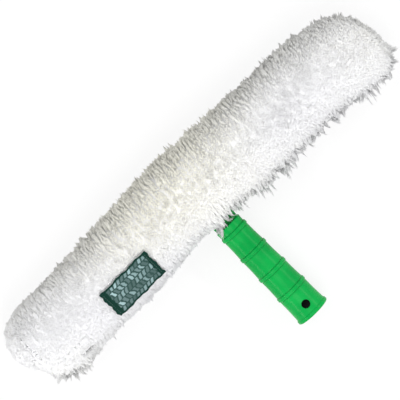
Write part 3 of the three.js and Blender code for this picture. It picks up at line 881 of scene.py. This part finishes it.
def near_cut(points):
    """How close roots are to the cut between the two fleeces, and the way to the flap there."""
    x, y = points[:, 0], points[:, 1]
    far_off = 1
    mouth = np.where(y > LEG_CUT_Y, np.abs(x - MOUTH_X), far_off)
    leg = np.where((x > MOUTH_X) & (x < LEG_CUT_X), np.abs(y - LEG_CUT_Y), far_off)
    end = np.where(y < LEG_CUT_Y, np.abs(x - LEG_CUT_X), far_off)
    nearest = np.minimum(np.minimum(mouth, leg), end)
    to_flap = np.where((leg <= nearest)[:, None], np.array([0.0, -1, 0]), np.array([-1.0, 0, 0]))
    return hump(nearest, 2.2 * MM), to_flap


def meet_sleeve(points):
    """Moves the flap core's cut faces towards the sleeve's core, so that no gap shows there."""
    x, y = points[:, 0], points[:, 1]
    near, past = 1.2 * MM, 1.5 * MM
    at_mouth = (np.abs(x - MOUTH_X) < near) & (y > LEG_CUT_Y - past)
    at_leg = (np.abs(y - LEG_CUT_Y) < near) & (x > MOUTH_X - past)
    at_end = (np.abs(x - LEG_CUT_X) < near) & (y < LEG_CUT_Y + past)
    points[:, 0] += (at_mouth | at_end) * CORE_MEETING
    points[:, 1] += at_leg * CORE_MEETING


def core_piece(name, node, depth, material):
    """The pile's dense inside: the CAD solid's form, drawn in where the strands stand."""
    piece = copy_of(node, name)
    outward(piece)
    row = points_of(piece).astype(float)
    points = to_tool(row)
    x = points[:, 0]
    middle, half, height = outline_at(x)
    level = (np.abs((points[:, 1] - middle) / half) ** SECTION_POWER
             + np.abs(points[:, 2] / height) ** SECTION_POWER)
    outer = ((level > CORE_SKIN_LEVEL) | (row[:, 2] < 0.6 * MM)
             | (x < FLAP_TIP + CORE_TIP_LENGTH) | (x > SEWN_TIP - CORE_TIP_LENGTH))
    axis_x = np.clip(x, -CORE_AXIS_END, CORE_AXIS_END)
    away = points - np.stack([axis_x, middle, np.zeros(len(points))], -1)
    distance = lengths(away)
    drawn_in = points - away / np.maximum(distance, 1e-6) * np.minimum(depth, distance * 0.5)
    points = np.where(outer[:, None], drawn_in, points)
    if node == "flap_pile":
        meet_sleeve(points)
    row = to_row(points)
    row[:, 2] = np.maximum(row[:, 2], CORE_FLOOR)
    piece.data.vertices.foreach_set("co", row.astype(np.float32).ravel())
    piece.data.update()
    modify(piece, "remesh", "REMESH", mode="VOXEL", voxel_size=CORE_VOXEL)
    texture = bpy.data.textures.new(name + "_lumps", "CLOUDS")
    texture.noise_scale = 6 * MM
    modify(piece, "lumps", "DISPLACE", texture=texture, texture_coords="LOCAL",
           strength=0.9 * MM, mid_level=0.6)
    smooth(piece)
    points = to_tool(points_of(piece).astype(float))
    side = side_of(points[:, 0], points[:, 1])
    # the dense pile is darker at the handle's side and the far side: painted shade between the
    # strands
    add_attribute(piece, "tone", np.interp(side, CORE_SIDES, CORE_SHADED_TONES))
    add_attribute(piece, "warmth_and_shade_tint", np.full(len(points), CORE_WARMTH))
    dress(piece, material)
    return piece


def strand_places(rng, count):
    """Where strands grow: arrays of x, of the angle round the section, of roots and of normals."""
    x, angle = strand_roots(rng, count)
    skin = (x, angle, fleece_point(x, angle), fleece_normal(x, angle))
    x, angle, roots, normals = (np.concatenate(parts) for parts in zip(skin, end_face_roots(rng)))
    # none grow where the neck and the handle pass, and fewer underneath
    path = ((roots[:, 0] < SLIT_END_X) & (roots[:, 0] > LEG_CUT_X) & (roots[:, 1] < 0)
            & (np.abs(roots[:, 2]) < SLIT_HALF_HEIGHT))
    raised = to_row(roots)[:, 2] > 0.5 * MM
    keep = ~path & (raised | (rng.uniform(size=len(x)) < UNDERSIDE_SHARE))
    return x[keep], angle[keep], roots[keep], normals[keep]


class WASHER_OT_fleece(bpy.types.Operator):
    """Grows the fleece of the sleeve and of its closure flap"""

    bl_idname = "washer.fleece"
    bl_label = "Fleece"

    def execute(self, context):
        settings = context.scene.washer_fleece
        material = fleece_material(settings.color, settings.warm_color)
        sleeve_core = core_piece("fleece_core", "fleece_pile", settings.core_depth, material)
        flap_core = core_piece("flap_fleece_core", "flap_pile", settings.core_depth, material)
        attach(sleeve_core, "sleeve")
        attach(flap_core, "closure_flap")
        rng = np.random.default_rng(4)
        tried = settings.strands
        x, angle, roots, normals = strand_places(rng, tried)
        count = len(x)

        # where a strand stands: shares of the far side, the handle's side, its fringe and the ends
        side = side_of(x, roots[:, 1])
        far_side = climb(side, 0.4, 0.5) * np.interp(x, TEXTURE_PLACES, FAR_EDGE_SHARES)
        handle_side = climb(-side, 0.5, 0.4)
        fringe = climb(-side, 0.74, 0.2) * np.interp(x, FRINGE_PLACES, FRINGE_SHARES)
        on_end = climb(np.abs(normals[:, 0]), 0.45, 0.35)
        end_share = on_end * np.where(x > 0, 0.8, 0.3)
        around = around_form(x, angle, TURN_STEP)
        around /= lengths(around)
        around *= np.sign(around[:, 1] * side)[:, None]
        outward_share = np.abs(around[:, 1])
        texture = np.interp(side, TEXTURE_SIDES, TEXTURE_SHARES)
        along_share = np.interp(x, TEXTURE_PLACES, TEXTURE_ALONG)
        texture *= np.where(side < 0.4, along_share, (1 + along_share) / 2)
        texture = np.maximum(np.maximum(texture, fringe), end_share)
        texture = np.maximum(texture, 0.8 * climb(-roots[:, 2], 0, 6 * MM))

        # the tufts: each leans, rises and pulls its strands together in its own way
        places = lock_places(x, angle)
        chance = settings.tufts_per_strand / lock_stretch(side) * (1 - 0.45 * fringe)
        tufts = np.nonzero(rng.uniform(size=count) < chance)[0]
        which = nearest_tuft(places, places[tufts])
        number = len(tufts)
        middles, far_tufts, fringe_tufts = roots[tufts], far_side[tufts], fringe[tufts]
        tuft_texture = texture[tufts]
        tuft_lean = noise_vectors(middles, 90, 11) * MM
        tuft_lean += noise_vectors(middles, 420, 31) * 0.5 * MM
        tuft_lean += rng.normal(size=tuft_lean.shape) * 0.5 * MM
        tuft_lean[:, 0] += (fringe_tufts * 1.5 * MM + 0.4 * MM) * rng.normal(size=number)
        tuft_lean *= tuft_texture[:, None]
        out = (2.8 * far_side + 1.2 * handle_side + 1.6 * fringe) * MM * outward_share
        tuft_lean += around[tufts] * (out[tufts] * rng.uniform(0.5, 1.4, number))[:, None]
        clump = soft_noise(places[tufts] * np.array([1, 0.45, 0]), 520, 91).clip(-1, 1)
        tuft_rise = rng.normal(size=number) * (0.25 + 0.5 * far_tufts + 0.6 * fringe_tufts) * MM
        tuft_rise += soft_noise(middles, 250, 71) * 0.35 * MM
        tuft_rise = tuft_rise * tuft_texture + fringe_tufts * (clump * 2.3 - 1.3) * MM
        tuft_rise += far_tufts * soft_noise(middles, 330, 92) * 0.8 * MM
        sewn_face = np.clip(normals[:, 0], 0, 1)
        peak = (1.3 * far_side + 3.2 * fringe * (1 - 0.75 * sewn_face)
                + end_share * (x > 0) * np.clip(1 - side, 0, 1))
        tuft_peak = rng.exponential(1.0, number).clip(0, 3.2) * peak[tufts] * MM
        tuft_pull = np.clip(rng.normal(0.7, 0.12, number), 0.3, 0.95)
        tuft_pull *= 0.35 + 0.65 * tuft_texture

        # how far each strand rises, leans and is gathered to its tuft's middle
        gather = middles[which] - roots
        gather -= part_along(gather, normals)
        gather *= np.minimum(1, GATHER_LIMIT / np.maximum(lengths(gather), 1e-9))
        from_middle = np.linalg.norm(places[tufts][which] - places, axis=1)
        rise = tuft_rise[which] - PILE_DROP + rng.normal(size=count) * (0.1 + 0.25 * texture) * MM
        rise += tuft_peak[which] * hump(from_middle, (0.7 + 0.7 * fringe) * MM)
        lean = tuft_lean[which] + rng.normal(size=(count, 3)) * 0.35 * MM * texture[:, None]
        lean -= part_along(lean, normals)

        # the pile hangs over the handle's head, dips at the crease and the sewn end's far corner,
        # is short at the mouth's end and lies flat under the label
        over = climb(-side, 0.45, 0.3) * hump(x, OVERHANG_HALF_WIDTH) * (roots[:, 2] > 6 * MM)
        overhang = over * (OVERHANG + rng.normal(size=number)[which] * OVERHANG_SPREAD).clip(0)
        lean[:, 1] -= overhang
        lean[:, 2] -= overhang * 0.4
        crease = hump(roots[:, 1] - CREASE_Y, CREASE_WIDTH) * (roots[:, 2] > 0)
        crease *= np.clip(1.3 - np.abs(x - CREASE_X) / CREASE_HALF_LENGTH, 0, 1)
        corner = climb(x, CORNER_X, 12 * MM) * climb(side, 0.2, 0.6)
        rise -= crease * CREASE_DEPTH
        rise -= np.clip(-normals[:, 0], 0, 1) * (x < MOUTH_X) * MOUTH_DROP
        rise -= corner * CORNER_DROP
        pressed = under_label(roots)
        rise -= pressed * (LABEL_DROP + rise.clip(0))
        lean *= (1 - 0.8 * pressed)[:, None]
        tips = roots + normals * rise[:, None] + lean

        # strands gather less beside the cut and lean over it, so that it doesn't show as a line
        flap = in_flap(roots)
        cut, to_flap = near_cut(roots)
        pull = np.clip(tuft_pull[which] + rng.normal(size=count) * 0.1, 0, 1)
        pull = (pull * (1 - 0.8 * np.maximum(cut, on_end)))[:, None]
        along_lock = part_along(gather, around)
        tips += (gather - along_lock) * pull + along_lock * pull / lock_stretch(side)[:, None]
        tips += to_flap * (cut * np.where(flap, 0.2, 1.4) * MM)[:, None]
        tips[:, 0] = np.maximum(tips[:, 0], FLAP_TIP - FLAP_TIP_ROOM)

        slimness = np.clip(far_side + fringe + 0.7 * end_share, 0, 1)
        widths = settings.strand_width * rng.uniform(0.7, 1.15, count) * (1 - 0.3 * slimness)
        widths *= 1 + 0.2 * cut
        depth = np.where(flap, 0.6, 1) * settings.pile_depth
        # painted shade: strands are darker towards their roots on the far side, at the fringe, at
        # the ends and in the crease, where shade falls between them
        painted_root_shade = np.clip(0.02 + 0.42 * far_side * (1 - 0.5 * end_share) + 0.58 * fringe
                           + 0.2 * end_share + crease, 0, 0.7)
        tones = np.clip(rng.normal(0.985, 0.025, count), 0.9, 1)
        # warmer in soft patches; warmer still towards the far side and cooler on the handle's side
        # in the middle, a painted tint of warm and cool shade
        middle = hump(x + 5 * MM, 95 * MM)
        warmth_and_shade_tint = np.clip(0.24 + (0.4 + 0.5 * side) * middle + 0.16 * soft_noise(roots, 45, 81)
                         + rng.normal(size=count) * 0.08, 0, 1)

        order = np.argsort(x)
        for body, mask, title in (("sleeve", ~flap, "fleece_strands"),
                                  ("closure_flap", flap, "flap_strands")):
            chosen = order[mask[order]]
            pieces = math.ceil(len(chosen) / STRANDS_A_PIECE)
            for i, part in enumerate(np.array_split(chosen, pieces)):
                piece = make_strands(f"{title}_{i + 1}", roots[part], normals[part], tips[part],
                                     widths[part], depth[part], rng, tones[part], warmth_and_shade_tint[part],
                                     painted_root_shade[part])
                dress(piece, material)
                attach(piece, body)
        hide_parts("fleece_pile")
        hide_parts("flap_pile")
        return {"FINISHED"}


# --------------------------------------------------------------------------- handle


def handle_radius(distance):
    along = (distance - HANDLE_START) / (HANDLE_END - HANDLE_START)
    return RADIUS_AT_START + (RADIUS_AT_END - RADIUS_AT_START) * along


def handle_outline(ring_height):
    """Outer profile of the grip as (radius, distance, groove shade) rows, from its top to its rim.
    The groove shade is painted shade: darker colour in the grooves beside the rings and at the top.
    """
    start = HANDLE_START - GRIP_LEAD
    distances = np.arange(start + 0.6 * MM, HANDLE_END - 1.6 * MM, 0.2 * MM)
    radius = handle_radius(distances)
    groove_shade = np.zeros_like(distances)
    centres = FIRST_RING + RING_PITCH * np.arange(RING_COUNT)
    for centre in centres:
        offset = (distances - centre) / (RING_WIDTH / 2)
        band = np.abs(offset) < 1
        radius += np.where(band, ring_height * np.sqrt(np.clip(1 - offset ** 4, 0, 1)), 0)
        radius -= np.where(band, RING_DIP * hump(offset, 0.22), 0)
        radius -= RING_GROOVE * hump(np.abs(offset) - 1.25, 0.2)
        # painted shade in the grooves beside each ring
        groove_shade = np.maximum(groove_shade, hump(np.abs(offset) - 1.12, 0.16))
    ends = np.concatenate([[HANDLE_START], centres, [HANDLE_END]])
    for a, b in zip(ends[:-1], ends[1:]):
        share = (distances - a) / (b - a)
        waist = WAIST * np.sin(math.pi * np.clip(share, 0, 1))
        radius -= np.where((share > 0) & (share < 1), waist, 0)
    flare = climb(distances, HANDLE_END - LIP_WIDTH - 0.6 * MM, 1.0 * MM)
    radius += LIP_HEIGHT * flare ** 2 * (3 - 2 * flare)
    # painted shade at the grip's top edge, where it meets the neck
    rows = [(RADIUS_AT_START - 1.0 * MM, start, 0.5),
            (RADIUS_AT_START - 0.3 * MM, start + 0.2 * MM, 0.2), *zip(radius, distances, groove_shade)]
    lip = RADIUS_AT_END + LIP_HEIGHT
    for i in range(9):
        angle = i / 8 * math.pi / 2
        rows.append((lip - RIM_ROUNDING * (1 - math.cos(angle)),
                     HANDLE_END - RIM_ROUNDING * (1 - math.sin(angle)), 0))
    return rows


def socket_radius(distance):
    return RADIUS_AT_END - SOCKET_WALL - SOCKET_TAPER * (HANDLE_END - distance) / SOCKET_DEPTH


def spun(name, rows):
    """A profile of (radius, distance) rows spun about the handle's axis, closed on itself."""
    points = [(r[0], -r[1], 0) for r in rows]
    edges = [(i, i + 1) for i in range(len(points) - 1)]
    if rows[0][0] > 0 or rows[-1][0] > 0:
        edges.append((len(points) - 1, 0))
    mesh = bpy.data.meshes.new(name)
    mesh.from_pydata(points, edges, [])
    piece = new_object(name, mesh)
    edit(piece, (bpy.ops.mesh.spin, {
        "steps": SPUN_SIDES, "angle": 2 * math.pi, "center": (0, 0, 0), "axis": (0, 1, 0)}))
    outward(piece, 2e-6)
    return piece


def cylinder(sides, radius, depth, location, rotation=(0, 0, 0)):
    deselect()
    bpy.ops.mesh.primitive_cylinder_add(
        vertices=sides, radius=radius, depth=depth, location=location, rotation=rotation)
    return bpy.context.object


def box(half_width, distances, half_height):
    """A box about the handle's axis, between two distances from the crossbar's middle."""
    deselect()
    bpy.ops.mesh.primitive_cube_add(size=1, location=(0, -sum(distances) / 2, 0))
    made = bpy.context.object
    made.scale = (2 * half_width, distances[1] - distances[0], 2 * half_height)
    bpy.ops.object.transform_apply(location=False, rotation=False, scale=True)
    return made


def cut_lock_hole(piece):
    place = (0, LOCK_HOLE_FROM_END - HANDLE_END, 10 * MM)
    cut_with(piece, cylinder(64, LOCK_HOLE_RADIUS, 20 * MM, place))


class WASHER_OT_handle(bpy.types.Operator):
    """Models the ringed grip and the liner in its pole socket"""

    bl_idname = "washer.handle"
    bl_label = "Handle"

    def execute(self, context):
        settings = context.scene.washer_handle
        grain = shared("grain", grain_group)
        green = plastic("green_plastic", settings.color, 0.28, grain, 0.09, "groove_shade")
        black = plastic("black_plastic", settings.liner_color, 0.55, grain, 0.05)
        rows = handle_outline(settings.ring_height)
        profile = np.array(rows)
        floor = HANDLE_END - SOCKET_DEPTH
        rows = [(0, HANDLE_START - GRIP_LEAD, 0), *rows,
                (socket_radius(HANDLE_END) + 0.5 * MM, HANDLE_END - 0.02 * MM, 0),
                (socket_radius(HANDLE_END), HANDLE_END - 0.5 * MM, 0),
                (socket_radius(floor), floor, 0), (0, floor, 0)]
        grip = spun("handle_grip_shell", rows)
        cut_with(grip, box(TONGUE_WIDTH / 2 + TONGUE_ROOM,
                           (HANDLE_START - 3 * MM, TONGUE_END + TONGUE_ROOM),
                           NECK_THICKNESS / 2 + TONGUE_ROOM))
        cut_with(grip, cylinder(32, SCREW_HOLE_RADIUS, 16 * MM, (0, -(floor - 4 * MM), 0),
                                (math.pi / 2, 0, 0)))
        cut_lock_hole(grip)
        co = points_of(grip)
        # the painted groove shade, only on the outer surface
        groove_shade = np.interp(-co[:, 1], profile[:, 1], profile[:, 2])
        outside = np.hypot(co[:, 0], co[:, 2]) > handle_radius(-co[:, 1]) - 1.2 * MM
        add_attribute(grip, "groove_shade", groove_shade * outside * 0.7)
        smooth(grip, 38)
        dress(grip, green)
        settle(grip)
        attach(grip, "t_bar")
        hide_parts("handle_grip")

        mouth = HANDLE_END - LINER_SET_BACK
        end = floor + LINER_FLOOR_GAP
        outer, outer_end = (socket_radius(d) - LINER_GAP for d in (mouth, end))
        liner = spun("pole_liner_tube", [
            (outer - LINER_WALL, mouth - 0.4 * MM), (outer - 0.9 * MM, mouth),
            (outer - 0.3 * MM, mouth), (outer, mouth - 0.3 * MM),
            (outer_end, end), (outer_end - LINER_WALL, end)])
        cut_lock_hole(liner)
        smooth(liner, 38)
        dress(liner, black)
        settle(liner)
        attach(liner, "t_bar")
        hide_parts("pole_liner")
        return {"FINISHED"}


class WASHER_OT_crossbar(bpy.types.Operator):
    """Finishes the crossbar, its end caps and the fastening inside the handle"""

    bl_idname = "washer.crossbar"
    bl_label = "Crossbar"

    def execute(self, context):
        settings = context.scene.washer_handle
        grain = shared("grain", grain_group)
        green = plastic("crossbar_plastic", settings.color, 0.45, grain)
        steel = metal("zinc_plated_steel", (0.6, 0.61, 0.63), 0.32, grain)
        brass = metal("brass", (0.62, 0.42, 0.14), 0.3, grain)
        for node in ("crossbar_frame", "end_cap_left", "end_cap_right"):
            dress(frame["nodes"][node], green)
        for node in ("tongue_screw", "screw_washer"):
            dress(frame["nodes"][node], steel)
        dress(frame["nodes"]["threaded_insert"], brass)
        return {"FINISHED"}


# --------------------------------------------------------------------------- cloth and label


def rounded_copy(node, name, edge):
    """A CAD node's mesh as a new piece with rounded edges."""
    piece = copy_of(node, name)
    edit(piece, (bpy.ops.mesh.remove_doubles, {"threshold": 1e-6}),
         (bpy.ops.mesh.dissolve_limited, {"angle_limit": math.radians(2)}))
    if edge:
        modify(piece, "edge", "BEVEL", width=edge, segments=2, limit_method="ANGLE",
               angle_limit=math.radians(40))
    smooth(piece, 50)
    return piece


def round_end(piece):
    """Rounds the backing's corners in plan at the sewn end, where the pile's form narrows."""
    cuts = np.linspace(BACKING_ROUND_START, BACKING_LAST_CUT, 6)
    edit(piece, *((bpy.ops.mesh.bisect, {
        "plane_co": TOOL @ Vector((x, 0, 0)), "plane_no": (1, 0, 0)}) for x in cuts))
    back = TOOL.inverted()
    for vertex in piece.data.vertices:
        point = back @ vertex.co
        share = (point.x - BACKING_ROUND_START) / (BACKING_END - BACKING_ROUND_START)
        if share > 0:
            point.y *= 1 - BACKING_ROUND_SHARE * (1 - math.sqrt(max(0, 1 - share ** 2)))
            vertex.co = TOOL @ point


def shrink_seam_tape(piece):
    """The sewn end narrows on its far side, so its tape is made smaller, on the handle's side."""
    start = Vector((BACKING_END, -SEAM_TAPE_SHIFT, 0))
    smaller = (Matrix.Translation(start) @ Matrix.Diagonal((*SEAM_TAPE_SHARES, 1, 1))
               @ Matrix.Translation((-BACKING_END, 0, 0)))
    piece.data.transform(TOOL @ smaller @ TOOL.inverted())


# Each node's body, slot and finish
CLOTH_NODES = {
    "sleeve_backing": ("sleeve", "backing_cloth", "backing"),
    "slit_binding_upper": ("sleeve", "tape", "tape"),
    "slit_binding_lower": ("sleeve", "tape", "tape"),
    "slit_bar_tack": ("sleeve", "thread", "tape"),
    "end_seam_tape": ("sleeve", "tape", "tape"),
    "mouth_binding": ("sleeve", "tape", "tape"),
    "loop_strip_upper": ("sleeve", "loop_cloth", "loop"),
    "loop_strip_lower": ("sleeve", "loop_cloth", "loop"),
    "flap_backing": ("closure_flap", "backing_cloth", "backing"),
    "flap_edge_binding": ("closure_flap", "tape", "tape"),
    "flap_hinge_tape": ("closure_flap", "tape", "tape"),
    "hook_strip": ("closure_flap", "hook_plastic", "hook"),
}


class WASHER_OT_cloth(bpy.types.Operator):
    """Makes the sleeve's backing, tapes and hook-and-loop strips"""

    bl_idname = "washer.cloth"
    bl_label = "Cloth and tapes"

    def execute(self, context):
        settings = context.scene.washer_cloth
        weave = shared("weave", weave_group)
        materials = {
            "backing": cloth("woven_backing", settings.backing, weave, 700),
            "tape": cloth("twill_tape", settings.tape, weave, 1100, 0.08 * MM),
            "loop": cloth("loop_strip", settings.backing, weave, 400, 0.3 * MM),
            "hook": cloth("hook_strip", settings.tape, weave, 500, 0.2 * MM, 0.5),
        }
        for node, (body, slot_name, finish) in CLOTH_NODES.items():
            piece = rounded_copy(node, node + "_cloth", settings.edge)
            if node == "flap_hinge_tape":
                piece.data.transform(Matrix.Translation((0, -HINGE_TAPE_INSET, 0)))
            if node == "end_seam_tape":
                shrink_seam_tape(piece)
            if node == "sleeve_backing":
                round_end(piece)
            dress(piece, materials[finish])
            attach(piece, body)
            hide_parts(node)
        return {"FINISHED"}


def label_point(along, across):
    """Points on the fleece under places given along and across the label, from its middle."""
    x = LABEL_MIDDLE[0] + along * math.cos(LABEL_TURN) - across * math.sin(LABEL_TURN)
    y = LABEL_MIDDLE[1] + along * math.sin(LABEL_TURN) + across * math.cos(LABEL_TURN)
    return np.stack([x, y, fleece_top(x, y)], -1)


def grid_piece(name, grid):
    columns, rows = grid.shape[:2]
    number = np.arange(columns * rows).reshape(columns, rows)
    faces = np.stack([number[:-1, :-1], number[1:, :-1], number[1:, 1:], number[:-1, 1:]], -1)
    return mesh_piece(name, grid.reshape(-1, 3), faces.reshape(-1, 4))


def stitches(side, name):
    """A row of short stitches across one end of the label."""
    deselect()
    pieces = []
    for i in range(STITCH_COUNT):
        share = (i + 0.5) / STITCH_COUNT - 0.5
        along = np.array([side * (LABEL_SIZE[0] / 2 - 2.2 * MM)])
        across = np.array([share * (LABEL_SIZE[1] - 4.4 * MM)])
        here = label_point(along, across)[0]
        ahead = label_point(along, across + 0.3 * MM)[0]
        direction = Vector(ahead - here).normalized()
        bpy.ops.mesh.primitive_uv_sphere_add(segments=10, ring_count=6, radius=0.5)
        stitch = bpy.context.object
        turn = Vector((0, 1, 0)).rotation_difference(direction).to_matrix().to_4x4()
        scale = Matrix.Diagonal((0.55 * MM, 1.5 * MM, 0.45 * MM, 1))
        lift = Vector((0, 0, LABEL_LIFT + LABEL_THICKNESS - 0.3 * MM))
        stitch.matrix_world = Matrix.Translation(Vector(here) + lift) @ turn @ scale
        pieces.append(stitch)
    deselect()
    for stitch in pieces:
        stitch.select_set(True)
    bpy.context.view_layer.objects.active = pieces[0]
    bpy.ops.object.join()
    piece = bpy.context.object
    piece.name = piece.data.name = name
    settle(piece)
    smooth(piece)
    return piece


class WASHER_OT_label(bpy.types.Operator):
    """Makes the woven label and the thread that sews it on"""

    bl_idname = "washer.label"
    bl_label = "Label"

    def execute(self, context):
        settings = context.scene.washer_label
        weave = shared("weave", weave_group)
        u, v = np.meshgrid(*(np.linspace(0, 1, count) for count in LABEL_GRID), indexing="ij")
        # its long edges and its ends are a little uneven
        wander = 0.35 * MM * np.sin(u * 17 + 1) + 0.2 * MM * np.sin(u * 41)
        across = (v - 0.5) * LABEL_SIZE[1] + wander * (2 * np.abs(v - 0.5)) ** 4
        wander = 0.35 * MM * np.sin(v * 13 + 2) + 0.3 * MM * np.sin(v * 31)
        along = (u - 0.5) * LABEL_SIZE[0] + wander * (2 * np.abs(u - 0.5)) ** 8
        top = label_point(along, across)
        ripple = 0.35 * MM * np.sin(u * 9.5 + v * 3) * np.sin(v * 5 + u * 4)
        top[..., 2] += ripple - 0.45 * MM + LABEL_LIFT + LABEL_THICKNESS
        label = grid_piece("label_woven", top)
        layer = label.data.uv_layers.new(name="UVMap")
        uv = np.stack([u.ravel(), v.ravel()], -1)
        index = np.empty(len(label.data.loops), dtype=np.int32)
        label.data.loops.foreach_get("vertex_index", index)
        layer.data.foreach_set("uv", uv[index].astype(np.float32).ravel())
        modify(label, "thickness", "SOLIDIFY", thickness=0.5 * MM, offset=-1)
        smooth(label, 50)
        dress(label, label_material(settings.ground, settings.mark, weave))
        settle(label)
        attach(label, "sleeve")
        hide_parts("label")

        thread = cloth("sewing_thread", (0.01, 0.06, 0.045), weave, 2500, 0.04 * MM, 0.6)
        for side, name in ((-1, "label_thread_flap_side"), (1, "label_thread_neck_side")):
            piece = stitches(side, name + "_stitches")
            dress(piece, thread)
            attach(piece, "sleeve")
            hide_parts(name)
        return {"FINISHED"}


# --------------------------------------------------------------------------- stage


def area_lamp(name, place, size, power):
    """A round lamp that faces the origin."""
    data = bpy.data.lights.new(name, "AREA")
    data.shape = "DISK"
    data.size = size
    data.energy = power
    lamp = new_object(name, data)
    lamp.location = place
    lamp.rotation_euler = (-Vector(place)).to_track_quat("-Z", "Y").to_euler()
    return lamp


def surface_material():
    """White, and seen by the camera as evenly lit, with little of the lamps' light on it."""
    material, graph, shader = new_material("white_surface")
    graph.fill(shader, {"Base Color": (0.9, 0.9, 0.9, 1), "Roughness": 1, "Specular IOR Level": 0})
    glow = graph.add("Emission", {"Color": (1, 1, 1, 1)})
    rays = graph.add("LightPath").outputs
    seen = graph.math("MAXIMUM", rays["Is Camera Ray"], rays["Is Transmission Ray"])
    mixed = graph.mix_shaders(graph.times(seen, SURFACE_SEEN), shader.outputs[0], glow.outputs[0])
    graph.fill(graph.nodes["Material Output"], {"Surface": mixed})
    return material


class WASHER_OT_stage(bpy.types.Operator):
    """Sets up the surface, the lamps and the camera"""

    bl_idname = "washer.stage"
    bl_label = "Stage"

    def execute(self, context):
        settings = context.scene.washer_stage
        scene = context.scene
        scene.view_settings.view_transform = "Standard"

        deselect()
        bpy.ops.mesh.primitive_plane_add(size=12, location=(0, 0, -0.2 * MM))
        floor = context.object
        floor.name = "surface"
        dress(floor, surface_material())

        world = bpy.data.worlds.new("studio")
        scene.world = world
        world.use_nodes = True
        graph = Graph(world.node_tree)
        background = graph.nodes["Background"]
        graph.fill(background, {"Color": (1, 1, 1, 1), "Strength": WORLD_STRENGTH})
        white = graph.add("Background", {"Strength": 1})
        rays = graph.add("LightPath").outputs
        seen = graph.math("MAXIMUM", rays["Is Camera Ray"], rays["Is Glossy Ray"])
        seen = graph.math("MAXIMUM", seen, rays["Is Transmission Ray"])
        mixed = graph.mix_shaders(seen, background.outputs[0], white.outputs[0])
        graph.fill(graph.nodes["World Output"], {"Surface": mixed})

        for name, angle, power in STRIPS:
            turn = math.radians(angle)
            place = (STRIP_DISTANCE * math.sin(turn), STRIP_Y, STRIP_DISTANCE * math.cos(turn))
            strip = area_lamp(name, place, STRIP_SIZE[0], power)
            strip.data.shape = "RECTANGLE"
            strip.data.size_y = STRIP_SIZE[1]
            strip.rotation_euler = (0, turn, 0)
        for lamp in LAMPS:
            area_lamp(*lamp)

        camera_data = bpy.data.cameras.new("camera")
        camera = new_object("camera", camera_data)
        scene.camera = camera
        camera_data.sensor_width = SENSOR_WIDTH
        drop = settings.camera_height - FRAME_HEIGHT
        camera_data.lens = SENSOR_WIDTH * drop / settings.frame_width
        camera_data.clip_end = 50
        bar = TOOL.translation
        camera.location = (bar.x + CAMERA_FROM_BAR[0], bar.y + CAMERA_FROM_BAR[1],
                           settings.camera_height)
        camera.rotation_euler = (0, 0, -settings.roll)
        return {"FINISHED"}


class WASHER_PT_panel(bpy.types.Panel):
    """Lists the washer's settings and pieces"""

    bl_idname = "WASHER_PT_panel"
    bl_label = "Window strip washer"
    bl_space_type = "VIEW_3D"
    bl_region_type = "UI"
    bl_category = "Washer"

    def draw(self, context):
        for operator, settings in PANEL_ROWS:
            box = self.layout.box()
            box.operator(operator)
            group = getattr(context.scene, settings)
            for name in group.bl_rna.properties.keys():
                if name not in ("rna_type", "name"):
                    box.prop(group, name)


PANEL_ROWS = (
    ("washer.fleece", "washer_fleece"),
    ("washer.handle", "washer_handle"),
    ("washer.crossbar", "washer_handle"),
    ("washer.cloth", "washer_cloth"),
    ("washer.label", "washer_label"),
    ("washer.stage", "washer_stage"),
)
SETTINGS = {
    "washer_fleece": FleeceSettings,
    "washer_handle": HandleSettings,
    "washer_cloth": ClothSettings,
    "washer_label": LabelSettings,
    "washer_stage": StageSettings,
}
CLASSES = (
    *SETTINGS.values(),
    WASHER_OT_fleece,
    WASHER_OT_handle,
    WASHER_OT_crossbar,
    WASHER_OT_cloth,
    WASHER_OT_label,
    WASHER_OT_stage,
    WASHER_PT_panel,
)


def register():
    for cls in CLASSES:
        bpy.utils.register_class(cls)
    for name, cls in SETTINGS.items():
        setattr(bpy.types.Scene, name, bpy.props.PointerProperty(type=cls))


def unregister():
    for name in SETTINGS:
        delattr(bpy.types.Scene, name)
    for cls in reversed(CLASSES):
        bpy.utils.unregister_class(cls)


def main():
    register()
    bpy.ops.washer.stage()
    bpy.ops.washer.handle()
    bpy.ops.washer.crossbar()
    bpy.ops.washer.cloth()
    bpy.ops.washer.fleece()
    bpy.ops.washer.label()


if __name__ == "__main__":
    main()
